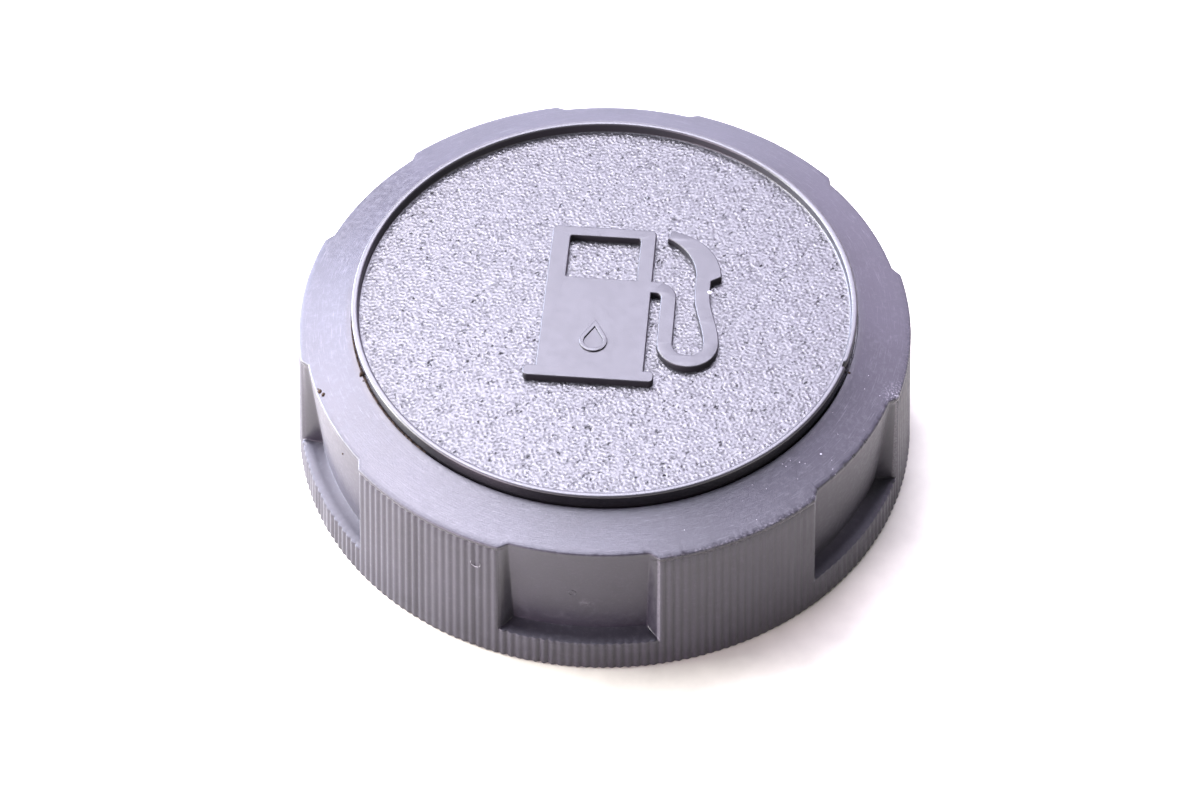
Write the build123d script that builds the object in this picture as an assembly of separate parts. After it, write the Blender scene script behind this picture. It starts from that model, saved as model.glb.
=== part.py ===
from build123d import *

import math
import os

# Screw-on fuel filler cap. Millimetres, standing on its rim at z = 0, axis on Z.
# One finger pocket faces -Y, and the pump symbol on top reads upright along +Y.

# Clearances
slip_fit = 0.1
running_fit = 0.08
valve_gap = 0.05
end_float = 0.15
closure_gap = 0.4

# Filler neck, which the closure screws on to
neck_thread_radius = 30.9
thread_height = 1.1
thread_pitch = 3.0
thread_root_width = 1.7
thread_crest_width = 0.7
thread_bite = 0.3
thread_entry = 3.0
thread_rise = 3.8
neck_depth = 9.25

# Closure
closure_wall = 2.0
flange_width = 0.95
flange_thickness = 1.3
roof_thickness = 1.8
mouth_chamfer = 0.6
lug_count = 6
lug_width = 2.0
lug_height = 2.2
lug_angle = 14.0

# Neck gasket, in a seat under the closure's roof
gasket_width = 4.9
gasket_thickness = 1.6
gasket_thread_gap = 0.4
gasket_rib_width = 0.9
gasket_rib_height = 1.0

# Ratchet between closure and grip
tooth_count = 36
tooth_depth = 1.2
tooth_ring_wall = 0.4
tooth_lock_angle = 0.5
tooth_crest_angle = 0.8
mechanism_height = 4.8
torque_ring_width = 1.6
torque_ring_height = 3.0
pawl_swing = 3.45
pawl_count = 6
pawl_thickness = 1.1
pawl_sweep = 36.0
pawl_tip_angle = 4.0
pawl_height = 2.4

# Retaining ring
ring_inset = 0.6
retaining_thickness = 1.4
retaining_width = 2.2
retaining_bite = 0.5

# Grip shell
shell_wall = 2.0
side_draft = 4.4
ledge_height = 4.5
web_thickness = 2.0
lip_height = 0.6
lip_round = 0.25
rib_count = 240
rib_depth = 0.35
rib_crest_share = 0.3
rib_root_share = 0.2
ring_stop_width = 2.0
ring_stop_gap = 0.1

# Finger pockets
pocket_count = 6
pocket_depth_top = 0.85
pocket_depth_ledge = 2.6
pocket_floor_angle = 25.5
pocket_land_angle = 28.9
pocket_cut_reach = 6

# Cover disc
cover_radius = 31.0
bead_width = 0.8
bead_height = 1.3
bead_step = 1.9
bead_round = 0.3
field_thickness = 1.6
shoulder_drop = 1.7
weld_rib_radius = 24.0
weld_rib_width = 1.0
weld_rib_depth = 0.8

# Pump symbol on the cover disc
symbol_height = 0.95
symbol_sink = 0.2
pump_left = -7.4
pump_right = 5.6
pump_top = 12.1
pump_foot_top = -11.1
pump_corner = 0.7
window_left = -5.1
window_right = 3.7
window_top = 10.5
window_bottom = 3.5
window_corner = 0.3
foot_left = -8.9
foot_right = 6.85
foot_bottom = -12.8
foot_corner = 0.6
hose_width = 1.9
hose_exit_height = 2.55
hose_drop_x = 7.8
hose_drop_round = 1.6
hose_loop_x = 10.6
hose_loop_y = -6.3
hose_rise_x = 11.9
hose_rise_y = 2.0
nozzle_hook_x = 14.1
nozzle_hook_y = 4.9
nozzle_hook_depth = 0.8
nozzle_tip_x = 7.4
nozzle_tip_y = 12.2
nozzle_tip_drop = 1.3
nozzle_back_bulge_x = 12.2
nozzle_back_bulge_y = 9.7
nozzle_belly_x = 9.9
nozzle_belly_y = 8.3
drop_x = -0.8
drop_y = -6.9
drop_radius = 1.7
drop_point = 3.4
drop_line = 0.55
drop_height = 0.2

# Valve housing
housing_radius = 13.9
housing_wall = 1.6
housing_drop = 10.6
housing_floor = 1.4
housing_flange_width = 6.1
housing_flange_thickness = 1.2
housing_bead_reach = 0.4
skirt_height = 1.8
skirt_wall = 1.0
snap_bead_reach = 0.3
snap_bead_height = 0.4
seat_ledge = 1.0
seat_lip_width = 0.8
seat_lip_height = 0.5
o_ring_thickness = 1.0
o_ring_groove_height = 1.2

# Screws that hold the housing
screw_count = 3
screw_edge_gap = 0.7
screw_radius = 0.9
screw_length = 2.4
screw_head_radius = 1.7
screw_head_height = 1.1
screw_cross_length = 2.0
screw_cross_width = 0.45
screw_cross_depth = 0.6
screw_hole_clearance = 0.15

# Splash shield
shield_thickness = 0.8
shield_slot_count = 8
shield_slot_length = 5.8
shield_slot_inset = 1.7
shield_slot_width = 1.6

# Pressure valve
seal_thickness = 1.0
seal_lip_overlap = 1.2
seal_poppet_overlap = 1.4
plate_thickness = 0.8
plate_rim_width = 0.6
plate_rim_drop = 0.7
plate_gap = 1.0
guide_height = 2.5
guide_wall = 1.2
plate_hole_count = 6
plate_hole_radius = 0.55
plate_hole_circle = 4.0
pressure_travel = 1.2
pressure_wire = 0.8
pressure_coil_inset = 1.4
pressure_coils = 4.5

# Vacuum valve
poppet_gap = 1.2
poppet_thickness = 1.1
stem_radius = 1.6
vacuum_travel = 1.2
clip_stop_gap = 0.3
vacuum_wire = 0.4
vacuum_coil_radius = 3.4
vacuum_coils = 6.5
clip_radius = 4.0
clip_thickness = 0.5
clip_groove_depth = 0.3

# Valve cover, filter and filter cap
cover_plate_thickness = 1.2
cover_vent_count = 6
cover_vent_radius = 1.2
cover_vent_circle = 4.6
filter_thickness = 1.9
filter_gap = 0.2
filter_cap_gap = 0.3
filter_cap_wall = 0.8
filter_window_count = 8
filter_window_width = 3.0

# Wave washer
washer_width = 2.4
washer_boss_reach = 0.5
washer_height = 2.2
washer_strip = 0.4
washer_waves = 3
washer_steps_per_wave = 8
washer_split = 4.0

# Levels, from the rim up
retaining_top = ring_inset + retaining_thickness
closure_bottom = retaining_top + end_float
roof_bottom = closure_bottom + neck_depth
roof_top = roof_bottom + roof_thickness
web_bottom = roof_top + mechanism_height
web_top = web_bottom + web_thickness
field_top = web_top + field_thickness
cap_top = field_top + bead_height
shoulder_top = cap_top - bead_step
land_top = shoulder_top - shoulder_drop
lip_bottom = land_top - lip_height
housing_top = roof_top + housing_flange_thickness
housing_bottom = roof_top - housing_drop - skirt_height
floor_bottom = housing_bottom + skirt_height
floor_top = floor_bottom + housing_floor
lip_seat = floor_top + seat_lip_height
seal_bottom = lip_seat + valve_gap
seal_top = seal_bottom + seal_thickness
plate_top = seal_top + plate_thickness
guide_top = plate_top + guide_height
clip_bottom = guide_top + vacuum_travel + clip_stop_gap
stem_top = clip_bottom + clip_thickness + clip_groove_depth
cover_bottom = stem_top + pressure_travel + closure_gap
cover_plate_top = cover_bottom + cover_plate_thickness

# Radii, from the neck out
closure_radius = neck_thread_radius + closure_wall
flange_radius = closure_radius + flange_width
cavity_radius = flange_radius + closure_gap
floor_radius_ledge = cavity_radius + shell_wall
land_radius_ledge = floor_radius_ledge + pocket_depth_ledge
flare = math.tan(math.radians(side_draft))
rim_radius = land_radius_ledge + ledge_height * flare
land_radius = land_radius_ledge - (lip_bottom - ledge_height) * flare
floor_radius_top = land_radius - pocket_depth_top
tooth_root_radius = cavity_radius - tooth_ring_wall
tooth_crest_radius = tooth_root_radius - tooth_depth
tooth_pitch = 360 / tooth_count
ramp_slope = tooth_depth / (tooth_pitch - tooth_crest_angle - tooth_lock_angle)
thread_crest_radius = neck_thread_radius - thread_height
gasket_radius = thread_crest_radius - gasket_thread_gap
lug_outer_radius = tooth_crest_radius - pawl_swing - torque_ring_width
lug_inner_radius = lug_outer_radius - lug_width
housing_bore = housing_radius - housing_wall
housing_flange_radius = housing_radius + housing_flange_width
screw_circle = housing_flange_radius - screw_head_radius - screw_edge_gap
filter_cap_radius = screw_circle - screw_head_radius - filter_cap_gap
filter_radius = filter_cap_radius - filter_cap_wall - filter_gap
skirt_bore = housing_radius - skirt_wall
shield_radius = skirt_bore - slip_fit
washer_radius = (housing_flange_radius + lug_inner_radius) / 2
washer_inner = washer_radius - washer_width / 2
washer_outer = washer_radius + washer_width / 2
plate_radius = housing_bore - plate_gap
seal_outer_radius = plate_radius - plate_rim_width - slip_fit
seat_lip_radius = seal_outer_radius - seal_lip_overlap
seat_opening_radius = seat_lip_radius - seat_lip_width - seat_ledge
poppet_radius = seat_opening_radius - poppet_gap
seal_inner_radius = poppet_radius - seal_poppet_overlap
pressure_coil_radius = seat_lip_radius - pressure_coil_inset


def polar(radius, angle):
    """A point at a radius and an angle in degrees."""
    return radius * math.cos(math.radians(angle)), radius * math.sin(math.radians(angle))


def tube(outer, inner, low, high):
    """A plain ring between two heights."""
    return Pos(0, 0, low) * extrude(Circle(outer) - Circle(inner), amount=high - low)


def disc(radius, low, high):
    """A plain round plate between two heights."""
    return Pos(0, 0, low) * extrude(Circle(radius), amount=high - low)


def slab(outline, low, high):
    """A flat outline made solid between two heights."""
    return Pos(0, 0, low) * extrude(outline, amount=high - low)


def turned(points, rounds=0):
    """A solid of revolution from (radius, height) points, with a round at each corner."""
    outline = Plane.XZ * FilletPolyline(*points, radius=rounds, close=True)
    return revolve(make_face(outline), Axis.Z)


def around(shape, count, start=0.0):
    """Copies of a shape at even angles about the axis."""
    return [Rot(0, 0, start + 360 * index / count) * shape for index in range(count)]


def sector(inner, outer, low, high, inner_angle, outer_angle):
    """A block between two radii, centred on +X, whose sides may slant in plan."""
    in_low = polar(inner, -inner_angle / 2)
    in_high = polar(inner, inner_angle / 2)
    out_low = polar(outer, -outer_angle / 2)
    out_high = polar(outer, outer_angle / 2)
    edges = [
        ThreePointArc(in_low, (inner, 0), in_high),
        Line(in_high, out_high),
        ThreePointArc(out_high, (outer, 0), out_low),
        Line(out_low, in_low),
    ]
    return slab(make_face(edges), low, high)


def coil(radius, wire, low, high, turns):
    """A compression spring of round wire between two heights."""
    rise = high - low - wire
    path = Helix(pitch=rise / turns, height=rise, radius=radius, center=(0, 0, low + wire / 2))
    section = Plane(origin=path @ 0, z_dir=path % 0) * Circle(wire / 2)
    return sweep(section, path=path, is_frenet=True)


def rib_points(scale, height):
    """Corners of the ribbed outline at one height, scaled down with the draft."""
    pitch = 360 / rib_count
    crest_half = pitch * rib_crest_share / 2
    root_half = pitch * rib_root_share / 2
    crest = rim_radius * scale
    root = (rim_radius - rib_depth) * scale
    points = []
    for index in range(rib_count):
        middle = index * pitch
        gap = middle + pitch / 2
        corners = [
            (crest, middle - crest_half),
            (crest, middle + crest_half),
            (root, gap - root_half),
            (root, gap + root_half),
        ]
        points += [Vector(*polar(radius, angle), height) for radius, angle in corners]
    return points


def ribbed_skirt():
    """Outside of the skirt: straight ribs that close in towards the shoulder."""
    low = rib_points(1, 0)
    high = rib_points(land_radius / rim_radius, lip_bottom)
    faces = [Face(Wire.make_polygon(low)), Face(Wire.make_polygon(high))]
    for index in range(len(low)):
        corners = [low[index - 1], low[index], high[index], high[index - 1]]
        faces.append(Face(Wire.make_polygon(corners)))
    return Part() + Solid(Shell(faces))


def ratchet_outline():
    """The toothed hole of the grip: each gap has a locking face, then a long ramp."""
    points = []
    for index in range(tooth_count):
        start = index * tooth_pitch
        points.append(polar(tooth_crest_radius, start))
        points.append(polar(tooth_root_radius, start + tooth_lock_angle))
        points.append(polar(tooth_crest_radius, start + tooth_pitch - tooth_crest_angle))
    return make_face(Polyline(*points, close=True))


def pocket_section(height):
    """Outline of one pocket's space at a height, centred on +X."""
    share = (height - ledge_height) / (lip_bottom - ledge_height)
    floor = floor_radius_ledge + share * (floor_radius_top - floor_radius_ledge)
    land = land_radius_ledge + share * (land_radius - land_radius_ledge)
    floor_corner = Vector(*polar(floor, pocket_floor_angle / 2))
    land_corner = Vector(*polar(land, pocket_land_angle / 2))
    out_corner = floor_corner + (land_corner - floor_corner) * pocket_cut_reach
    low_corner = (floor_corner.X, -floor_corner.Y)
    out_low = (out_corner.X, -out_corner.Y)
    edges = [
        ThreePointArc(low_corner, (floor, 0), floor_corner),
        Line(floor_corner, out_corner),
        Line(out_corner, out_low),
        Line(out_low, low_corner),
    ]
    return Pos(0, 0, height) * make_face(edges)


def grip_shell():
    """Grip: ribbed skirt, shoulder, finger pockets and the ratchet's inner teeth."""
    recess_radius = cover_radius + slip_fit
    shoulder = turned(
        [
            (0, lip_bottom),
            (land_radius, lip_bottom),
            (land_radius, land_top),
            (recess_radius, shoulder_top),
            (recess_radius, web_top),
            (0, web_top),
        ],
        [0, 0, lip_round, 0, 0, 0],
    )
    groove_inner = weld_rib_radius - weld_rib_width / 2 - slip_fit
    groove_outer = weld_rib_radius + weld_rib_width / 2 + slip_fit
    shell = ribbed_skirt() + shoulder
    shell -= disc(cavity_radius, 0, roof_top + end_float)
    shell -= slab(ratchet_outline(), roof_top, web_bottom) - washer_boss() - ring_stop()
    shell -= disc(cavity_radius + retaining_bite, ring_inset - end_float, retaining_top + slip_fit)
    shell -= tube(groove_outer, groove_inner, web_top - weld_rib_depth - slip_fit, web_top)
    pocket = loft([pocket_section(ledge_height), pocket_section(shoulder_top)], ruled=True)
    for cutter in around(pocket, pocket_count, start=-90):
        shell -= cutter
    return shell


def washer_boss():
    """Ring under the web that the wave washer pushes against."""
    outer = washer_outer + washer_boss_reach
    inner = washer_inner - washer_boss_reach
    return tube(outer, inner, roof_top + washer_height, web_bottom)


def ring_stop():
    """Ring under the web that keeps the torque ring on its lugs."""
    outer = lug_outer_radius + ring_stop_width
    low = roof_top + torque_ring_height + ring_stop_gap + end_float
    return tube(outer, lug_outer_radius, low, web_bottom)


def pump_body():
    """Outline of the pump with its window and foot."""
    foot_middle = (pump_foot_top + foot_bottom) / 2
    body = rounded_box(pump_left, pump_right, foot_middle, pump_top, pump_corner)
    foot = rounded_box(foot_left, foot_right, foot_bottom, pump_foot_top, foot_corner)
    window = rounded_box(window_left, window_right, window_bottom, window_top, window_corner)
    return body + foot - window


def rounded_box(left, right, low, high, corner):
    """A rectangle in plan, given by its sides."""
    return Pos((left + right) / 2, (low + high) / 2) * RectangleRounded(right - left, high - low, corner)


def pump_hose():
    """The hose: out of the pump, down, round the loop and up to the nozzle."""
    loop_radius = hose_loop_x - hose_drop_x
    loop_right = hose_loop_x + loop_radius
    start = (pump_right - pump_corner, hose_exit_height)
    corner = (hose_drop_x, hose_exit_height)
    bottom = (hose_drop_x, hose_loop_y)
    out = FilletPolyline(start, corner, bottom, radius=hose_drop_round)
    loop = ThreePointArc(bottom, (hose_loop_x, hose_loop_y - loop_radius), (loop_right, hose_loop_y))
    rise = Spline((loop_right, hose_loop_y), (hose_rise_x, hose_rise_y), tangents=[(0, 1), (0, 1)])
    top = Line((hose_rise_x, hose_rise_y), (hose_rise_x, nozzle_hook_y))
    path = Curve() + [out, loop, rise, top]
    return trace(path, line_width=hose_width)


def pump_nozzle():
    """The nozzle: a curved wedge with a hook at its heel."""
    inner_x = hose_rise_x - hose_width / 2
    outer_x = hose_rise_x + hose_width / 2
    hook_y = nozzle_hook_y - nozzle_hook_depth
    tip_low = (nozzle_tip_x - nozzle_tip_drop / 4, nozzle_tip_y - nozzle_tip_drop)
    tip = (nozzle_tip_x, nozzle_tip_y)
    edges = [
        Line((inner_x, hook_y), (outer_x, hook_y)),
        Line((outer_x, hook_y), (nozzle_hook_x, nozzle_hook_y)),
        ThreePointArc((nozzle_hook_x, nozzle_hook_y), (nozzle_back_bulge_x, nozzle_back_bulge_y), tip),
        Line(tip, tip_low),
        ThreePointArc(tip_low, (nozzle_belly_x, nozzle_belly_y), (inner_x, hook_y)),
    ]
    return make_face(edges)


def fuel_drop():
    """Raised outline of a plain fuel drop."""
    half = math.degrees(math.acos(drop_radius / drop_point))
    left = polar(drop_radius, 90 + half)
    right = polar(drop_radius, 90 - half)
    edges = [
        ThreePointArc(left, (0, -drop_radius), right),
        Line(right, (0, drop_point)),
        Line((0, drop_point), left),
    ]
    outline = make_face(edges)
    return Pos(drop_x, drop_y) * (outline - offset(outline, amount=-drop_line))


def cover_disc():
    """Inlay in the grip's top: bead, sunk field and the raised pump symbol."""
    inner = cover_radius - bead_width
    plate = turned(
        [
            (0, web_top),
            (cover_radius, web_top),
            (cover_radius, cap_top),
            (inner, cap_top),
            (inner, field_top),
            (0, field_top),
        ],
        [0, 0, bead_round, bead_round, 0, 0],
    )
    rib_outer = weld_rib_radius + weld_rib_width / 2
    weld_rib = tube(rib_outer, rib_outer - weld_rib_width, web_top - weld_rib_depth, web_top)
    symbol = pump_body() + pump_hose() + pump_nozzle()
    raised = slab(symbol, field_top - symbol_sink, field_top + symbol_height)
    drop_low = field_top + symbol_height - symbol_sink
    drop = slab(fuel_drop(), drop_low, field_top + symbol_height + drop_height)
    return plate + weld_rib + raised + drop


def retaining_ring():
    """Snap ring in the skirt's groove, under the closure's flange."""
    outer = cavity_radius + retaining_bite - slip_fit
    inner = cavity_radius - retaining_width
    return turned(
        [
            (inner, ring_inset),
            (cavity_radius - slip_fit, ring_inset),
            (outer, ring_inset + retaining_thickness / 2),
            (outer, retaining_top),
            (inner, retaining_top),
        ]
    )


def wave_washer():
    """Split spring washer: a flat strip that waves round the axis."""
    swing = (washer_height - washer_strip) / 2 - valve_gap
    middle = roof_top + washer_height / 2
    steps = washer_waves * washer_steps_per_wave
    sections = []
    for index in range(steps + 1):
        angle = washer_split / 2 + (360 - washer_split) * index / steps
        wave = swing * math.cos(math.radians(angle * washer_waves))
        plane = Plane(
            origin=(*polar(washer_radius, angle), middle + wave),
            x_dir=(*polar(1, angle), 0),
            z_dir=(*polar(1, angle + 90), 0),
        )
        sections.append(plane * Rectangle(washer_width, washer_strip))
    return loft(sections)


def inner_thread():
    """Ridge of the closure's internal thread, its root set into the wall."""
    low = closure_bottom + thread_entry
    root_radius = neck_thread_radius + thread_bite
    path = Helix(pitch=thread_pitch, height=thread_rise, radius=root_radius, center=(0, 0, low))
    plane = Plane(origin=path @ 0, x_dir=(-1, 0, 0), z_dir=path % 0)
    reach = root_radius - thread_crest_radius
    section = Polyline(
        (0, -thread_root_width / 2),
        (0, thread_root_width / 2),
        (reach, thread_crest_width / 2),
        (reach, -thread_crest_width / 2),
        close=True,
    )
    return sweep(plane * make_face(section), path=path, is_frenet=True)


def threaded_closure():
    """Inner cup: flange, threaded wall, gasket seat, roof and the torque ring's lugs."""
    hole = housing_radius + slip_fit
    cup = turned(
        [
            (hole, roof_bottom),
            (neck_thread_radius, roof_bottom),
            (neck_thread_radius, closure_bottom + mouth_chamfer),
            (neck_thread_radius + mouth_chamfer, closure_bottom),
            (flange_radius, closure_bottom),
            (flange_radius, closure_bottom + flange_thickness),
            (closure_radius, closure_bottom + flange_thickness),
            (closure_radius, roof_top),
            (hole, roof_top),
        ]
    )
    rib_outer = gasket_radius - gasket_width - slip_fit
    rib = tube(rib_outer, rib_outer - gasket_rib_width, roof_bottom - gasket_rib_height, roof_bottom)
    lug = sector(lug_inner_radius, lug_outer_radius, roof_top, roof_top + lug_height, lug_angle, lug_angle)
    cup += rib
    cup += inner_thread()
    for copy in around(lug, lug_count):
        cup += copy
    screw_hole = disc(screw_radius, housing_top - screw_length - slip_fit, roof_top)
    for cutter in around(Pos(screw_circle, 0) * screw_hole, screw_count):
        cup -= cutter
    return cup


def pawl():
    """One spring arm of the torque ring, with its tip in a tooth gap of the grip."""
    lock = tooth_lock_angle + math.degrees(running_fit / tooth_root_radius)
    tip_radius = tooth_root_radius - running_fit
    shank_radius = tooth_crest_radius - closure_gap
    root_radius = lug_outer_radius + torque_ring_width - pawl_thickness / 2
    outer = []
    inner = []
    for share in (0.0, 0.35, 0.7, 1.0):
        angle = lock + pawl_tip_angle + share * pawl_sweep
        radius = shank_radius + (root_radius - shank_radius) * share ** 2
        outer.append(polar(radius, angle))
        inner.append(polar(radius - pawl_thickness, angle))
    ramp_radius = tip_radius - ramp_slope * pawl_tip_angle - slip_fit
    edges = [
        Spline(*outer),
        Line(outer[-1], inner[-1]),
        Spline(*inner),
        Line(inner[0], polar(shank_radius - pawl_thickness, lock)),
        Line(polar(shank_radius - pawl_thickness, lock), polar(tip_radius, lock)),
        Line(polar(tip_radius, lock), polar(ramp_radius, lock + pawl_tip_angle)),
        Line(polar(ramp_radius, lock + pawl_tip_angle), outer[0]),
    ]
    return slab(make_face(edges), roof_top + valve_gap, roof_top + valve_gap + pawl_height)


def torque_ring():
    """Ratchet ring: notches for the closure's lugs inside, spring pawls outside."""
    outer = lug_outer_radius + torque_ring_width
    inner = lug_inner_radius + slip_fit
    low = roof_top + valve_gap
    ring = tube(outer, inner, low, roof_top + torque_ring_height)
    notch_angle = lug_angle + math.degrees(2 * slip_fit / lug_inner_radius)
    notch_outer = lug_outer_radius + slip_fit
    notch = sector(inner - closure_gap, notch_outer, low, web_bottom, notch_angle, notch_angle)
    for cutter in around(notch, lug_count):
        ring -= cutter
    for arm in around(pawl(), pawl_count):
        ring += arm
    return ring


def neck_gasket():
    """Flat rubber ring under the closure's roof."""
    return tube(gasket_radius, gasket_radius - gasket_width, roof_bottom - gasket_thickness, roof_bottom)


def valve_housing():
    """Valve housing: flange on the closure's roof, O-ring groove, bore and skirt."""
    groove_middle = (roof_bottom + roof_top) / 2
    groove_radius = housing_radius + slip_fit - o_ring_thickness - 2 * valve_gap
    cup = turned(
        [
            (skirt_bore, floor_top),
            (skirt_bore, housing_bottom),
            (housing_radius, housing_bottom),
            (housing_radius, roof_top),
            (housing_flange_radius, roof_top),
            (housing_flange_radius, housing_top),
            (housing_bore, housing_top),
            (housing_bore, floor_top),
        ]
    )
    cup += tube(housing_bore, housing_bore - housing_bead_reach, cover_plate_top, housing_top)
    cup += tube(skirt_bore, skirt_bore - snap_bead_reach, floor_bottom - snap_bead_height, floor_bottom)
    groove_low = groove_middle - o_ring_groove_height / 2
    cup -= tube(housing_radius, groove_radius, groove_low, groove_low + o_ring_groove_height)
    shank = Pos(screw_circle, 0) * disc(screw_radius + screw_hole_clearance, roof_top, housing_top)
    for cutter in around(shank, screw_count):
        cup -= cutter
    return cup


def valve_seat():
    """Seat ring with its sealing lip, snapped into the housing's skirt."""
    ring = tube(shield_radius, seat_opening_radius, floor_bottom, floor_top)
    return ring + tube(seat_lip_radius, seat_lip_radius - seat_lip_width, floor_top, lip_seat)


def housing_o_ring():
    """Rubber ring between housing and closure."""
    radius = o_ring_thickness / 2
    middle = housing_radius + slip_fit - radius - valve_gap
    section = Plane.XZ * (Pos(middle, (roof_bottom + roof_top) / 2) * Circle(radius))
    return revolve(section, Axis.Z)


def housing_screws():
    """Cross-head screws through the housing's flange, as one group."""
    shank = disc(screw_radius - running_fit, housing_top - screw_length, housing_top)
    head = turned(
        [
            (0, housing_top),
            (screw_head_radius, housing_top),
            (screw_head_radius, housing_top + screw_head_height),
            (0, housing_top + screw_head_height),
        ],
        [0, 0, screw_head_height / 2, 0],
    )
    head_top = housing_top + screw_head_height
    bar = Rectangle(screw_cross_length, screw_cross_width)
    cross = bar + Rot(0, 0, 90) * bar
    screw = shank + head - slab(cross, head_top - screw_cross_depth, head_top)
    return Compound(children=around(Pos(screw_circle, 0) * screw, screw_count))


def splash_shield():
    """Slotted disc in the housing's skirt."""
    low = housing_bottom
    plate = disc(shield_radius, low, low + shield_thickness)
    middle = shield_radius - shield_slot_inset - shield_slot_length / 2
    slot = Pos(middle, 0) * SlotOverall(shield_slot_length, shield_slot_width)
    for cutter in around(slab(slot, low, low + shield_thickness), shield_slot_count):
        plate -= cutter
    return plate


def pressure_plate():
    """Lifting plate with a rim round the seal, vent holes and the stem's guide."""
    bore = stem_radius + running_fit
    plate = tube(plate_radius, bore, seal_top, plate_top)
    plate += tube(plate_radius, plate_radius - plate_rim_width, seal_top - plate_rim_drop, seal_top)
    plate += tube(bore + guide_wall, bore, plate_top, guide_top)
    hole = Pos(plate_hole_circle, 0) * disc(plate_hole_radius, seal_top, plate_top)
    for cutter in around(hole, plate_hole_count):
        plate -= cutter
    return plate


def valve_seal():
    """Rubber disc that closes on the housing's lip and on the poppet."""
    return tube(seal_outer_radius, seal_inner_radius, seal_bottom, seal_top)


def pressure_spring():
    """Spring between the pressure plate and the valve cover."""
    return coil(pressure_coil_radius, pressure_wire, plate_top, cover_bottom, pressure_coils)


def vacuum_poppet():
    """Poppet under the seal, with a grooved stem."""
    top = seal_bottom - valve_gap
    groove_radius = stem_radius - clip_groove_depth
    return turned(
        [
            (0, top - poppet_thickness),
            (poppet_radius - poppet_thickness / 2, top - poppet_thickness),
            (poppet_radius, top - poppet_thickness / 2),
            (poppet_radius, top),
            (stem_radius, top),
            (stem_radius, clip_bottom),
            (groove_radius, clip_bottom),
            (groove_radius, clip_bottom + clip_thickness),
            (stem_radius, clip_bottom + clip_thickness),
            (stem_radius, stem_top),
            (0, stem_top),
        ]
    )


def vacuum_spring():
    """Light spring that pulls the poppet up through its clip."""
    return coil(vacuum_coil_radius, vacuum_wire, plate_top, clip_bottom, vacuum_coils)


def vacuum_clip():
    """Push-on clip in the stem's groove, open at one side."""
    inner = stem_radius - clip_groove_depth + running_fit
    clip = tube(clip_radius, inner, clip_bottom, clip_bottom + clip_thickness)
    mouth = Pos(clip_radius / 2, 0) * Rectangle(clip_radius + slip_fit, 2 * inner)
    return clip - slab(mouth, clip_bottom, clip_bottom + clip_thickness)


def valve_cover():
    """Vented plate over the pressure spring, snapped under the housing's bead."""
    plate = disc(housing_bore - slip_fit, cover_bottom, cover_plate_top)
    vent = Pos(cover_vent_circle, 0) * disc(cover_vent_radius, cover_bottom, cover_plate_top)
    for cutter in around(vent, cover_vent_count):
        plate -= cutter
    return plate


def breather_filter():
    """Foam disc over the valve cover."""
    return disc(filter_radius, housing_top, housing_top + filter_thickness)


def filter_cap():
    """Windowed cap that holds the filter down."""
    top = housing_top + filter_thickness
    skirt = tube(filter_cap_radius, filter_cap_radius - filter_cap_wall, housing_top, top)
    window = Pos(filter_cap_radius, 0) * Rectangle(4 * filter_cap_wall, filter_window_width)
    for cutter in around(slab(window, housing_top, top - filter_cap_wall), filter_window_count):
        skirt -= cutter
    return skirt + disc(filter_cap_radius, top, top + filter_cap_wall)


nodes = [
    grip_shell,
    cover_disc,
    retaining_ring,
    wave_washer,
    threaded_closure,
    torque_ring,
    neck_gasket,
    valve_housing,
    valve_seat,
    housing_o_ring,
    housing_screws,
    splash_shield,
    pressure_plate,
    valve_seal,
    pressure_spring,
    vacuum_poppet,
    vacuum_spring,
    vacuum_clip,
    valve_cover,
    breather_filter,
    filter_cap,
]

os.makedirs("parts", exist_ok=True)
for node in nodes:
    export_step(node(), f"parts/{node.__name__}.step")
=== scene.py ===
import math

import bmesh
import bpy
import numpy as np
from bpy.props import FloatProperty, FloatVectorProperty, IntProperty, PointerProperty
from bpy.types import Operator, Panel, PropertyGroup
from mathutils import Matrix, Vector
from mathutils.geometry import tessellate_polygon


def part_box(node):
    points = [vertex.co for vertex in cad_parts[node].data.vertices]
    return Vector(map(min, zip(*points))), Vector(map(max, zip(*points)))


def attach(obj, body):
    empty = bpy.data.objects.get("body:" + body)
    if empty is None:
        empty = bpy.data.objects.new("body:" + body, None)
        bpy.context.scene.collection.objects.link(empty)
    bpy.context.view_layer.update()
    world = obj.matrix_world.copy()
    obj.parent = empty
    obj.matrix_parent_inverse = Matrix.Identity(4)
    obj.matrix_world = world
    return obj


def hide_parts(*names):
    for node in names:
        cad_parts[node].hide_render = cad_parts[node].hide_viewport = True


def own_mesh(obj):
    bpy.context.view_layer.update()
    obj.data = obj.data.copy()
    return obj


bl_info = {
    "name": "Fuel Filler Cap",
    "version": (1, 0, 0),
    "blender": (4, 5, 0),
    "location": "3D View > Sidebar > Filler Cap",
    "description": "Moulded grip, grained cover, pump symbol, springs and finishes for a filler cap",
    "category": "Object",
}

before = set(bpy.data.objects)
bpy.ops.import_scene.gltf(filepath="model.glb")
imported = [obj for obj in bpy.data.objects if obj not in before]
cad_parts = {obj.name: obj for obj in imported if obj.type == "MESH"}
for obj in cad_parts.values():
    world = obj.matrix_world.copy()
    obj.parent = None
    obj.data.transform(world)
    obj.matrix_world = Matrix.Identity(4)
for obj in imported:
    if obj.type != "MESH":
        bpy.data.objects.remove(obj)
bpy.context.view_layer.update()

MM = 0.001
FULL_TURN = 2 * math.pi
grip_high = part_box("grip_shell")[1]
cover_low, cover_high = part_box("cover_disc")
pressure_low, pressure_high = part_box("pressure_spring")
vacuum_low, vacuum_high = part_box("vacuum_spring")

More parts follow.
